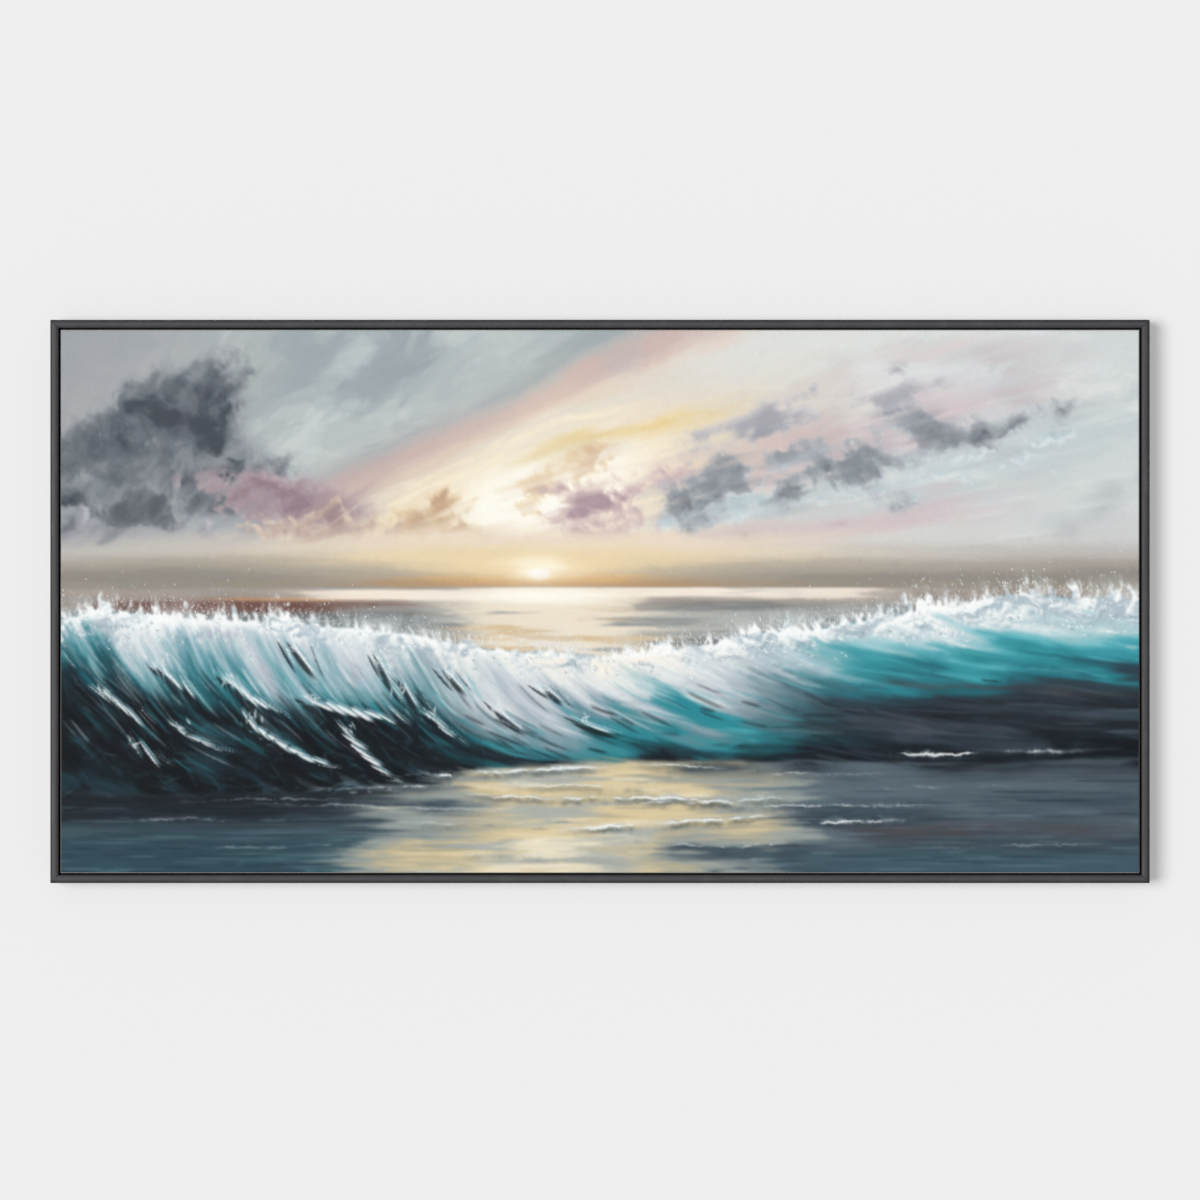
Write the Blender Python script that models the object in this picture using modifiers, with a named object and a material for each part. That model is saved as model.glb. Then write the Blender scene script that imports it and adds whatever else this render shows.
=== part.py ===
"""Framed oil painting: a canvas stretched over mitred pine bars, set in a slim black floater frame.

Run it with: blender --background --python part.py, or from Blender's text editor.

Units are metres. The picture faces -Y, +Z is up and +X is to the right as one looks at it.
The origin is in the plane of the wall, in the middle of the top rail's back face.
"""

import math

import bmesh
import bpy
from mathutils import Matrix, Vector

# The stretched canvas, outside its wrapped edges
CANVAS_WIDTH = 1.200
CANVAS_HEIGHT = 0.604
CLOTH_THICKNESS = 0.0010

# The floater frame's L-shaped moulding
FLOAT_GAP = 0.0022
FACE_WIDTH = 0.0090
FLANGE_WIDTH = 0.0220
FLANGE_THICKNESS = 0.0065
CANVAS_RECESS = 0.0050
OUTER_EDGE_RADIUS = 0.0022
INNER_EDGE_RADIUS = 0.0010
FACE_CROWN = 0.0004
ARC_STEPS = 5

# The stretcher bars and the brace between them
BAR_WIDTH = 0.042
BAR_THICKNESS = 0.022
BAR_LIP_WIDTH = 0.006
BAR_RELIEF = 0.0025
BAR_BACK_CHAMFER = 0.0020
BRACE_WIDTH = 0.036
BRACE_THICKNESS = 0.014
TENON_LENGTH = 0.012
TENON_THICKNESS = 0.006
TENON_SHOULDER = 0.005

# Countersunk screws through the flange into the bars
FLANGE_SCREW_RADIUS = 0.0017
FLANGE_SCREW_HEAD_RADIUS = 0.0034
FLANGE_SCREW_HEAD_HEIGHT = 0.0020
FLANGE_SCREW_LENGTH = 0.020
FLANGE_SCREW_FROM_CORNER = 0.110
# Their places along a rail, as shares of the span between its two end screws
FLANGE_SCREW_SHARES_LONG = (-1 / 2, -1 / 6, 1 / 6, 1 / 2)
FLANGE_SCREW_SHARES_SHORT = (-1 / 2, 1 / 2)

# Sawtooth hangers on the back of the top bar
HANGER_FROM_CORNER = 0.250
HANGER_HEIGHT = 0.0115
HANGER_MIDDLE = 0.032
HANGER_RAMP = 0.003
HANGER_TAB = 0.0095
HANGER_RISE = 0.0022
HANGER_PLATE = 0.0010
HANGER_MARGIN = 0.0025
TOOTH_PITCH = 0.0032
TOOTH_DEPTH = 0.0016
HANGER_SCREW_RADIUS = 0.0013
HANGER_SCREW_HEAD_RADIUS = 0.0029
HANGER_SCREW_HEAD_HEIGHT = 0.0015
HANGER_SCREW_LENGTH = 0.010

# The cross recess in every screw head
RECESS_SPAN_SHARE = 1.15
RECESS_SLOT_WIDTH = 0.0008
RECESS_DEPTH = 0.0009

# What keeps touching pieces apart, and what a cutter adds past the face it cuts
CLEARANCE = 0.0003
OVERCUT = 0.002
ROUND_SIDES = 12

# Depths from the wall plane towards the viewer
HEM_BACK = FLANGE_THICKNESS + CLEARANCE
BAR_BACK = HEM_BACK + CLOTH_THICKNESS + CLEARANCE
BAR_FRONT = BAR_BACK + BAR_THICKNESS
CLOTH_FRONT = BAR_FRONT + CLEARANCE + CLOTH_THICKNESS
FRAME_DEPTH = CLOTH_FRONT + CANVAS_RECESS

# Distances inwards from the frame's outer edge
RAIL_WIDTH = FACE_WIDTH + FLANGE_WIDTH
CANVAS_INSET = FACE_WIDTH + FLOAT_GAP
BAR_INSET = CANVAS_INSET + CLOTH_THICKNESS + CLEARANCE
FLANGE_SCREW_INSET = BAR_INSET + (RAIL_WIDTH - BAR_INSET) / 2
BAR_INNER_INSET = BAR_INSET + BAR_WIDTH
HANGER_MIDDLE_INSET = BAR_INNER_INSET - BAR_BACK_CHAMFER - HANGER_MARGIN - HANGER_HEIGHT / 2
HEM_INSET = HANGER_MIDDLE_INSET - HANGER_HEIGHT / 2 - HANGER_MARGIN
HEM_WIDTH = HEM_INSET - CANVAS_INSET

FRAME_WIDTH = CANVAS_WIDTH + 2 * CANVAS_INSET
FRAME_HEIGHT = CANVAS_HEIGHT + 2 * CANVAS_INSET
TOP_EDGE = RAIL_WIDTH / 2
CENTRE_HEIGHT = TOP_EDGE - FRAME_HEIGHT / 2

# Colours as the surfaces look in daylight
BLACK_LACQUER = "#252427"
PINE = "#D8B988"
RAW_COTTON = "#D9CEB6"
BRIGHT_ZINC = "#B4B6B8"
PAINTED_BANDS = (
    (0.00, "#45565F"),
    (0.17, "#6B7F83"),
    (0.22, "#1C2730"),
    (0.34, "#237D88"),
    (0.45, "#E4E9E9"),
    (0.51, "#8E9492"),
    (0.53, "#C9A981"),
    (0.60, "#D9CFC4"),
    (0.75, "#B9A9A8"),
    (1.00, "#B3BCBF"),
)


def linear(hex_colour):
    """An sRGB hex colour as the linear red, green, blue and alpha that Blender's shaders take."""
    shares = [int(hex_colour[i : i + 2], 16) / 255 for i in (1, 3, 5)]
    return [s / 12.92 if s <= 0.04045 else ((s + 0.055) / 1.055) ** 2.4 for s in shares] + [1.0]


def plain_material(name, colour, roughness, metallic=0.0):
    made = bpy.data.materials.new(name)
    made.use_nodes = True
    shader = made.node_tree.nodes["Principled BSDF"]
    shader.inputs["Base Color"].default_value = linear(colour)
    shader.inputs["Roughness"].default_value = roughness
    shader.inputs["Metallic"].default_value = metallic
    return made


def painted_material(name, bands, lowest, highest):
    """Broad bands of paint, blended from the bottom edge of the picture to the top."""
    made = plain_material(name, bands[0][1], 0.45)
    nodes = made.node_tree.nodes
    links = made.node_tree.links
    place = nodes.new("ShaderNodeTexCoord")
    apart = nodes.new("ShaderNodeSeparateXYZ")
    share = nodes.new("ShaderNodeMapRange")
    ramp = nodes.new("ShaderNodeValToRGB")
    share.inputs["From Min"].default_value = lowest
    share.inputs["From Max"].default_value = highest
    while len(ramp.color_ramp.elements) < len(bands):
        ramp.color_ramp.elements.new(0.5)
    for element, (position, colour) in zip(ramp.color_ramp.elements, bands):
        element.position = position
        element.color = linear(colour)
    links.new(place.outputs["Object"], apart.inputs[0])
    links.new(apart.outputs["Z"], share.inputs["Value"])
    links.new(share.outputs["Result"], ramp.inputs["Fac"])
    links.new(ramp.outputs["Color"], nodes["Principled BSDF"].inputs["Base Color"])
    return made


def new_object(name, mesh, collection, material=None):
    made = bpy.data.objects.new(name, mesh)
    collection.objects.link(made)
    if material:
        mesh.materials.append(material)
    return made


def mesh_from(shape, name):
    """The bmesh as a mesh, with its faces pointing outwards."""
    bmesh.ops.recalc_face_normals(shape, faces=shape.faces)
    mesh = bpy.data.meshes.new(name)
    shape.to_mesh(mesh)
    shape.free()
    return mesh


def box_mesh(name, size, centre=(0, 0, 0)):
    shape = bmesh.new()
    place = Matrix.Translation(centre) @ Matrix.Diagonal((*size, 1))
    bmesh.ops.create_cube(shape, size=1, matrix=place)
    return mesh_from(shape, name)


def evaluated_mesh(source, name):
    """The object's mesh with its curve or modifiers worked out and its seams closed."""
    graph = bpy.context.evaluated_depsgraph_get()
    mesh = bpy.data.meshes.new_from_object(source.evaluated_get(graph))
    mesh.name = name
    shape = bmesh.new()
    shape.from_mesh(mesh)
    bmesh.ops.remove_doubles(shape, verts=shape.verts, dist=1e-6)
    bmesh.ops.recalc_face_normals(shape, faces=shape.faces)
    shape.to_mesh(mesh)
    shape.free()
    return mesh


def extruded_outline(name, points, length):
    """A closed outline in X and Y, given half of the length each way along Z, as a mesh."""
    curve = bpy.data.curves.new(name, "CURVE")
    curve.dimensions = "2D"
    curve.fill_mode = "BOTH"
    curve.extrude = length / 2
    spline = curve.splines.new("POLY")
    spline.points.add(len(points) - 1)
    for point, (x, y) in zip(spline.points, points):
        point.co = (x, y, 0, 1)
    spline.use_cyclic_u = True
    holder = bpy.data.objects.new(name, curve)
    bpy.context.scene.collection.objects.link(holder)
    mesh = evaluated_mesh(holder, name)
    bpy.data.objects.remove(holder)
    bpy.data.curves.remove(curve)
    return mesh


def cut(target, cutter):
    """Subtracts the cutter, as a modifier that stays on the object."""
    modifier = target.modifiers.new("cut by " + cutter.name, "BOOLEAN")
    modifier.operation = "DIFFERENCE"
    modifier.object = cutter
    return modifier


def make_cutter(name, mesh, place=None):
    cutter = new_object(name, mesh, cutters)
    cutter.hide_render = True
    cutter.display_type = "WIRE"
    if place:
        cutter.matrix_world = place
    return cutter


def arc(centre, radius, start, end, steps=ARC_STEPS):
    """Points along an arc, from one angle in degrees to another."""
    turns = [math.radians(start + (end - start) * i / steps) for i in range(steps + 1)]
    return [(centre[0] + radius * math.cos(t), centre[1] + radius * math.sin(t)) for t in turns]


def rail_outline():
    """The moulding's section: inward distance, and depth from the wall plane."""
    front = FRAME_DEPTH - FACE_CROWN
    start = OUTER_EDGE_RADIUS
    end = FACE_WIDTH - INNER_EDGE_RADIUS
    crown = []
    for i in range(1, ARC_STEPS):
        share = i / ARC_STEPS
        crown.append((start + (end - start) * share, front + 4 * FACE_CROWN * share * (1 - share)))
    return [
        (RAIL_WIDTH, 0),
        (0, 0),
        *arc((start, front - OUTER_EDGE_RADIUS), OUTER_EDGE_RADIUS, 180, 90),
        *crown,
        *arc((end, front - INNER_EDGE_RADIUS), INNER_EDGE_RADIUS, 90, 0),
        (FACE_WIDTH, FLANGE_THICKNESS),
        (RAIL_WIDTH, FLANGE_THICKNESS),
    ]


def bar_outline():
    """The stretcher bar's section: its front slopes away from the cloth, behind a lip."""
    inner = BAR_INNER_INSET
    return [
        (BAR_INSET, BAR_BACK),
        (BAR_INSET, BAR_FRONT),
        (BAR_INSET + BAR_LIP_WIDTH, BAR_FRONT),
        (inner, BAR_FRONT - BAR_RELIEF),
        (inner, BAR_BACK + BAR_BACK_CHAMFER),
        (inner - BAR_BACK_CHAMFER, BAR_BACK),
    ]


def mitred_mesh(name, outline, outer_length):
    """A straight moulding along X, its outer edge at Z = 0 and its ends mitred at 45 degrees."""
    mesh = extruded_outline(name, outline, outer_length)
    gap = CLEARANCE / math.sqrt(2)
    for vertex in mesh.vertices:
        inward, depth, along = vertex.co
        reach = outer_length / 2 - inward - gap
        vertex.co = (math.copysign(reach, along), -depth, -inward)
    shape = bmesh.new()
    shape.from_mesh(mesh)
    bmesh.ops.recalc_face_normals(shape, faces=shape.faces)
    shape.to_mesh(mesh)
    shape.free()
    return mesh


# Each side's name, its turn about Y, its outer length and its distance from the frame's centre
SIDES = (
    ("top", 0, FRAME_WIDTH, FRAME_HEIGHT / 2),
    ("bottom", 180, FRAME_WIDTH, FRAME_HEIGHT / 2),
    ("left", -90, FRAME_HEIGHT, FRAME_WIDTH / 2),
    ("right", 90, FRAME_HEIGHT, FRAME_WIDTH / 2),
)


def side_place(turn, distance):
    """Takes a piece made at the middle of the top edge to the middle of another edge."""
    spin = Matrix.Rotation(math.radians(turn), 4, "Y")
    return Matrix.Translation((0, 0, CENTRE_HEIGHT)) @ spin @ Matrix.Translation((0, 0, distance))


def turned_mesh(name, outline):
    """A solid turned about Z from points of radius and height, listed down its outer side."""
    profile = bpy.data.meshes.new(name)
    points = [(radius, 0, height) for radius, height in outline]
    profile.from_pydata(points, [(i, i + 1) for i in range(len(points) - 1)], [])
    holder = new_object(name, profile, bpy.context.scene.collection)
    screw = holder.modifiers.new("turn", "SCREW")
    screw.steps = screw.render_steps = ROUND_SIDES
    screw.use_merge_vertices = True
    screw.merge_threshold = 0.00001
    mesh = evaluated_mesh(holder, name)
    bpy.data.objects.remove(holder)
    bpy.data.meshes.remove(profile)
    return mesh


def screw_mesh(name, outline, head_radius):
    """A turned screw, its head's top at Z = 0, with a cross recess cut into it."""
    holder = new_object(name, turned_mesh(name, outline), bpy.context.scene.collection)
    span = head_radius * RECESS_SPAN_SHARE
    slots = []
    for sizes in ((span, RECESS_SLOT_WIDTH), (RECESS_SLOT_WIDTH, span)):
        slot = box_mesh(name + "_slot", (*sizes, 2 * RECESS_DEPTH))
        slots.append(new_object(name + "_slot", slot, bpy.context.scene.collection))
        cut(holder, slots[-1])
    mesh = evaluated_mesh(holder, name)
    for used in (holder, *slots):
        bpy.data.objects.remove(used)
    return mesh


def countersunk_outline(radius, head_radius, head_height, length, spare=0.0):
    """A flat-headed screw's outline. Spare widens it into the hole that takes it."""
    top = spare + (OVERCUT if spare else 0)
    outline = [(0, top), (head_radius + spare, top)]
    if spare:
        outline.append((head_radius + spare, 0))
    return outline + [
        (radius + spare, -head_height),
        (radius + spare, -length - spare),
        (0, -length - spare),
    ]


def pan_outline(radius, head_radius, head_height, length):
    """A domed screw, its underside resting at head_height below its top."""
    shoulder = head_height * 0.45
    return [
        (0, 0),
        (head_radius * 0.62, 0),
        (head_radius, -shoulder),
        (head_radius, -head_height),
        (radius, -head_height),
        (radius, -length - head_height),
        (0, -length - head_height),
    ]


def hole_outline(radius, above, below):
    return [(0, above), (radius, above), (radius, -below), (0, -below)]


# Turns a screw made along Z so that its head faces the wall, towards +Y
HEAD_TO_WALL = Matrix.Rotation(math.radians(-90), 4, "X")


def frame_rails():
    return {
        side: place_mesh("frame_rail_" + side, rail_outline(), side, turn, length, distance, lacquer)
        for side, turn, length, distance in SIDES
    }


def stretcher_bars():
    return {
        side: place_mesh("stretcher_bar_" + side, bar_outline(), side, turn, length, distance, pine)
        for side, turn, length, distance in SIDES
    }


def place_mesh(name, outline, side, turn, length, distance, material):
    made = new_object(name, mitred_mesh(name, outline, length), parts, material)
    made.matrix_world = side_place(turn, distance)
    return made


def canvas():
    """The cloth: a tray over the front and sides of the bars, with a hem turned over their backs."""
    depth = CLOTH_FRONT - HEM_BACK
    hem = Vector((HEM_WIDTH, 0, HEM_WIDTH))
    shape = bmesh.new()
    place = Matrix.Translation((0, -CLOTH_FRONT, CENTRE_HEIGHT))
    grid = bmesh.ops.create_grid(shape, x_segments=1, y_segments=1, size=0.5)
    stand = Matrix.Rotation(math.radians(90), 4, "X")
    size = Matrix.Diagonal((CANVAS_WIDTH, 1, CANVAS_HEIGHT, 1))
    bmesh.ops.transform(shape, matrix=place @ size @ stand, verts=grid["verts"])
    side = bmesh.ops.extrude_edge_only(shape, edges=shape.edges[:])
    rim = [v for v in side["geom"] if isinstance(v, bmesh.types.BMVert)]
    bmesh.ops.translate(shape, vec=(0, depth, 0), verts=rim)
    edges = [e for e in shape.edges if all(v in rim for v in e.verts)]
    for face in shape.faces:
        face.material_index = 1
    turned = bmesh.ops.extrude_edge_only(shape, edges=edges)
    for vertex in (v for v in turned["geom"] if isinstance(v, bmesh.types.BMVert)):
        vertex.co.x -= math.copysign(hem.x, vertex.co.x)
        vertex.co.z -= math.copysign(hem.z, vertex.co.z - CENTRE_HEIGHT)
    made = new_object("canvas", mesh_from(shape, "canvas"), parts, cotton)
    made.data.materials.append(paint)
    shell = made.modifiers.new("cloth", "SOLIDIFY")
    shell.thickness = CLOTH_THICKNESS
    shell.offset = -1
    shell.use_even_offset = True
    shell.material_offset = -1
    return made


def flange_screws(rails, bars, cloth):
    """Screws that hold the bars on the frame's flange, and the holes for them."""
    sizes = (
        FLANGE_SCREW_RADIUS,
        FLANGE_SCREW_HEAD_RADIUS,
        FLANGE_SCREW_HEAD_HEIGHT,
        FLANGE_SCREW_LENGTH,
    )
    mesh = screw_mesh("flange_screw", countersunk_outline(*sizes), FLANGE_SCREW_HEAD_RADIUS)
    mesh.materials.append(zinc)
    hole = turned_mesh("flange_screw_hole", countersunk_outline(*sizes, spare=CLEARANCE))
    for side, turn, length, distance in SIDES:
        long_side = side in ("top", "bottom")
        shares = FLANGE_SCREW_SHARES_LONG if long_side else FLANGE_SCREW_SHARES_SHORT
        span = length - 2 * FLANGE_SCREW_FROM_CORNER
        for number, share in enumerate(shares, 1):
            inset = Matrix.Translation((share * span, -CLEARANCE, -FLANGE_SCREW_INSET))
            place = side_place(turn, distance) @ inset @ HEAD_TO_WALL
            name = f"flange_screw_{side}_{number}"
            new_object(name, mesh, parts).matrix_world = place
            cutter = make_cutter(name + "_hole", hole, place)
            for piece in (rails[side], bars[side], cloth):
                cut(piece, cutter)


def brace(bars):
    """The upright between the long bars, with a tenon at each end in a slot of the bar."""
    opening = FRAME_HEIGHT - 2 * BAR_INNER_INSET
    length = opening - 2 * CLEARANCE
    centre = Vector((0, -BAR_BACK - BRACE_THICKNESS / 2, CENTRE_HEIGHT))
    tenon_width = BRACE_WIDTH - 2 * TENON_SHOULDER
    body = box_mesh("cross_brace", (BRACE_WIDTH, BRACE_THICKNESS, length), centre)
    made = new_object("cross_brace", body, parts, pine)
    long_tenon = (tenon_width, TENON_THICKNESS, length + 2 * TENON_LENGTH)
    tenon = make_cutter("brace_tenon", box_mesh("brace_tenon", long_tenon, centre))
    joined = made.modifiers.new("add tenons", "BOOLEAN")
    joined.operation = "UNION"
    joined.object = tenon
    spare = 2 * CLEARANCE
    slot_size = (tenon_width + spare, TENON_THICKNESS + spare, long_tenon[2] + spare)
    slot = make_cutter("brace_slot", box_mesh("brace_slot", slot_size, centre))
    for side in ("top", "bottom"):
        cut(bars[side], slot)
    return made


def hanger_mesh():
    """A strip bent up in its middle, with teeth cut along the lower edge of the raised part."""
    half = HANGER_MIDDLE / 2
    foot = half + HANGER_RAMP
    end = foot + HANGER_TAB
    path = [(-end, 0), (-foot, 0), (-half, HANGER_RISE), (half, HANGER_RISE), (foot, 0), (end, 0)]
    strip = bpy.data.meshes.new("hanger")
    rows = [(x, y, z) for z in (-HANGER_HEIGHT / 2, HANGER_HEIGHT / 2) for x, y in path]
    count = len(path)
    faces = [(i, i + count, i + 1 + count, i + 1) for i in range(count - 1)]
    strip.from_pydata(rows, [], faces)
    holder = new_object("hanger", strip, bpy.context.scene.collection)
    plate = holder.modifiers.new("plate", "SOLIDIFY")
    plate.thickness = HANGER_PLATE
    plate.offset = -1
    plate.use_even_offset = True
    teeth = int((HANGER_MIDDLE - 2 * HANGER_RAMP) / TOOTH_PITCH)
    used = [holder]
    for i in range(teeth):
        middle = (i - (teeth - 1) / 2) * TOOTH_PITCH
        base = -HANGER_HEIGHT / 2 - OVERCUT
        tip = -HANGER_HEIGHT / 2 + TOOTH_DEPTH
        wide = TOOTH_PITCH / 2 * (1 + OVERCUT / TOOTH_DEPTH) * 0.86
        flat = TOOTH_PITCH * 0.12
        notch = [
            (middle - wide, base),
            (middle + wide, base),
            (middle + flat, tip),
            (middle - flat, tip),
        ]
        mesh = extruded_outline("notch", notch, 2 * (HANGER_RISE + HANGER_PLATE + OVERCUT))
        mesh.transform(Matrix.Rotation(math.radians(90), 4, "X"))
        used.append(new_object("notch", mesh, bpy.context.scene.collection))
        cut(holder, used[-1])
    for side in (-1, 1):
        outline = hole_outline(HANGER_SCREW_RADIUS + CLEARANCE, OVERCUT, OVERCUT)
        hole = new_object("hole", turned_mesh("hole", outline), bpy.context.scene.collection)
        hole.matrix_world = Matrix.Translation((side * (foot + HANGER_TAB / 2), 0, 0)) @ HEAD_TO_WALL
        used.append(hole)
        cut(holder, hole)
    bpy.context.view_layer.update()
    mesh = evaluated_mesh(holder, "hanger")
    for item in used:
        bpy.data.objects.remove(item)
    return mesh


def hangers(top_bar):
    """Two sawtooth plates on the top bar, each held by two small domed screws."""
    plate = hanger_mesh()
    plate.materials.append(zinc)
    sizes = (
        HANGER_SCREW_RADIUS,
        HANGER_SCREW_HEAD_RADIUS,
        HANGER_SCREW_HEAD_HEIGHT,
        HANGER_SCREW_LENGTH,
    )
    screw = screw_mesh("hanger_screw", pan_outline(*sizes), HANGER_SCREW_HEAD_RADIUS)
    screw.materials.append(zinc)
    below = HANGER_SCREW_LENGTH + CLEARANCE
    pilot = turned_mesh("pilot", hole_outline(HANGER_SCREW_RADIUS + CLEARANCE, OVERCUT, below))
    tab = HANGER_MIDDLE / 2 + HANGER_RAMP + HANGER_TAB / 2
    height = TOP_EDGE - HANGER_MIDDLE_INSET
    for name, side in (("left", -1), ("right", 1)):
        x = side * (FRAME_WIDTH / 2 - HANGER_FROM_CORNER)
        plate_back = -BAR_BACK + CLEARANCE + HANGER_PLATE
        hanger = new_object("hanger_" + name, plate, parts)
        hanger.location = (x, plate_back, height)
        for number, end in enumerate((-1, 1), 1):
            head_top = plate_back + CLEARANCE + HANGER_SCREW_HEAD_HEIGHT
            place = Matrix.Translation((x + end * tab, head_top, height)) @ HEAD_TO_WALL
            title = f"hanger_screw_{name}_{number}"
            new_object(title, screw, parts).matrix_world = place
            surface = Matrix.Translation((x + end * tab, -BAR_BACK, height)) @ HEAD_TO_WALL
            cut(top_bar, make_cutter(title + "_pilot", pilot, surface))


for old in list(bpy.data.objects):
    bpy.data.objects.remove(old)

parts = bpy.data.collections.new("framed oil painting")
cutters = bpy.data.collections.new("cutters")
for group in (parts, cutters):
    bpy.context.scene.collection.children.link(group)

canvas_bottom = CENTRE_HEIGHT - CANVAS_HEIGHT / 2
canvas_top = CENTRE_HEIGHT + CANVAS_HEIGHT / 2
lacquer = plain_material("satin black lacquer", BLACK_LACQUER, 0.38)
pine = plain_material("planed pine", PINE, 0.70)
cotton = plain_material("raw cotton canvas", RAW_COTTON, 0.90)
zinc = plain_material("zinc-plated steel", BRIGHT_ZINC, 0.32, 1.0)
paint = painted_material("oil paint", PAINTED_BANDS, canvas_bottom, canvas_top)

all_rails = frame_rails()
all_bars = stretcher_bars()
cloth_tray = canvas()
flange_screws(all_rails, all_bars, cloth_tray)
brace(all_bars)
hangers(all_bars["top"])

for piece in parts.objects:
    piece.data.shade_smooth()
    piece.data.set_sharp_from_angle(angle=math.radians(30))
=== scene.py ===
# %% [markdown]
# # A seascape in oils, in a black floater frame
#
# The real object is a canvas stretched over a pine strainer and let into a slim black
# moulding, with a narrow dark gap all round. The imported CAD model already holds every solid
# piece at its true size. This file dresses it: paint with real brush relief, woven cotton,
# satin lacquer, pine and zinc. Everything is in metres. The picture faces -Y, and the wall is
# the plane Y = 0.

# %% Load the frame
import math

import bpy
import bmesh
import numpy as np
from mathutils import Matrix, Vector


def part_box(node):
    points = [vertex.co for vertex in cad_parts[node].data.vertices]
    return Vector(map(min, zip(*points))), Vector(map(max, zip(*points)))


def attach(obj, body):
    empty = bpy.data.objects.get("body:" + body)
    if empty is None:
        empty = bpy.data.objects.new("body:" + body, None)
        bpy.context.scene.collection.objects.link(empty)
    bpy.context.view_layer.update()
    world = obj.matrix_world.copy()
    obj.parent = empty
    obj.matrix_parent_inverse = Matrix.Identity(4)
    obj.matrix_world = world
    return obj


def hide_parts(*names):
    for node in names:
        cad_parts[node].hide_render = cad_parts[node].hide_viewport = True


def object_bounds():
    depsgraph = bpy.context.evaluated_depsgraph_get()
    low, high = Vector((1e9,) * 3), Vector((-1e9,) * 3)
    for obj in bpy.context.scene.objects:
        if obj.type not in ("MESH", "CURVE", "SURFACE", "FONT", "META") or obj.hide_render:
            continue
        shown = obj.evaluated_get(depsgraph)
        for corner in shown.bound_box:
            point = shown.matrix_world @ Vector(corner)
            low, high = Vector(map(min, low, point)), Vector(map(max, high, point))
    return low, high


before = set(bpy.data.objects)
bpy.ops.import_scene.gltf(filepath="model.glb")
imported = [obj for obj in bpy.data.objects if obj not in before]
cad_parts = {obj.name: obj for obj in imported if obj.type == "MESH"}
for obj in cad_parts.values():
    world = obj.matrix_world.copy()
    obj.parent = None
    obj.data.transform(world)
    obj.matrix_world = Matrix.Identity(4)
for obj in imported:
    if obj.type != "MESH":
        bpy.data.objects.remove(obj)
cad_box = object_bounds()
cloth_low, cloth_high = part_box("canvas")
print("CAD box", cad_box)

# %% [markdown]
# ## Colour and nodes
#
# Paint makers and the web give colours as sRGB hex codes, while Blender's shaders mix light
# in linear numbers. One function turns the first into the second. A second one adds any node
# to any tree, sets its inputs and makes its links, so each material below reads like a recipe.
# All patterns lie in the piece's own metres, so each material starts from the Object place.


# %% Helpers for every material
def linear(code):
    """An sRGB hex code as linear red, green, blue and alpha."""
    shares = np.array([int(code[i : i + 2], 16) / 255 for i in (1, 3, 5)])
    return (*np.where(shares <= 0.04045, shares / 12.92, ((shares + 0.055) / 1.055) ** 2.4), 1.0)


def add(tree, kind, inputs=None, **settings):
    """Adds a node. An input takes a value, or another node's output to link."""
    made = tree.nodes.new(kind)
    for name, value in settings.items():
        setattr(made, name, value)
    for name, value in (inputs or {}).items():
        socket = made.inputs[name]
        if isinstance(value, bpy.types.NodeSocket):
            tree.links.new(value, socket)
        else:
            socket.default_value = value
    return made


def new_finish(name, **principled):
    """A material with its shader's own sockets set. Returns it, its tree and the place in metres."""
    made = bpy.data.materials.new(name)
    made.use_nodes = True
    shader = made.node_tree.nodes["Principled BSDF"]
    for socket, value in principled.items():
        shader.inputs[socket.replace("_", " ")].default_value = value
    return made, made.node_tree, add(made.node_tree, "ShaderNodeTexCoord").outputs["Object"]


def feed(tree, **outputs):
    """Links node outputs to the Principled shader's sockets."""
    for socket, output in outputs.items():
        tree.links.new(output, tree.nodes["Principled BSDF"].inputs[socket.replace("_", " ")])


def dress(node, finish):
    """Gives a CAD node a new material in every slot, and leaves its mesh alone."""
    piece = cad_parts[node]
    for slot in piece.material_slots:
        slot.material = finish
    return piece


# %% [markdown]
# ## The photographer's place
#
# The picture is seen square on, with almost no perspective, so the camera stands well back
# with a long lens. The frame is 1222 mm wide and fills 1100 of the image's 1200 pixels, which
# fixes the lens for any distance. The photographer hung it on a pale wall. A broad window to
# the left throws a soft shadow beside the right rail, a lamp at the lens fills in from the
# front, polarised so that it leaves no glare, and the white room adds a little from all sides.
# A last light stands behind the wall, for looking at the picture's back.

# %% Camera
CAMERA_DISTANCE = 6.0
PIXEL = 0.0011115
PIXELS_ACROSS = 1200
# The frame's middle lies this many pixels below the photograph's
PIXELS_LOW = 1.4
middle = (cad_box[0] + cad_box[1]) / 2
camera_data = bpy.data.cameras.new("camera")
camera_data.sensor_width = 36
camera_data.lens = camera_data.sensor_width * CAMERA_DISTANCE / (PIXELS_ACROSS * PIXEL)
camera_data.clip_end = 60
camera = bpy.data.objects.new("camera", camera_data)
camera.location = (0, cad_box[0][1] - CAMERA_DISTANCE, middle[2] + PIXELS_LOW * PIXEL)
camera.rotation_euler = (math.radians(90), 0, 0)
bpy.context.scene.collection.objects.link(camera)
bpy.context.scene.camera = camera
print("lens", round(camera_data.lens, 1), "mm")


# %% Lights
# A lit white surface should come out as its own colour, so the lights' shares add up to 1
WINDOW_SHARE, LAMP_SHARE, ROOM_SHARE = 0.46, 0.38, 0.16


def sunlight(name, left, up, spread, strength):
    """Even light from one direction, in degrees off the picture's normal, from a disc spread degrees wide."""
    left, up = math.radians(left), math.radians(up)
    towards = Vector((-math.sin(left) * math.cos(up), -math.cos(left) * math.cos(up), math.sin(up)))
    data = bpy.data.lights.new(name, "SUN")
    data.angle = math.radians(spread)
    data.energy = strength
    made = bpy.data.objects.new(name, data)
    made.rotation_euler = towards.to_track_quat("Z", "Y").to_euler()
    bpy.context.scene.collection.objects.link(made)
    return made


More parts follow.
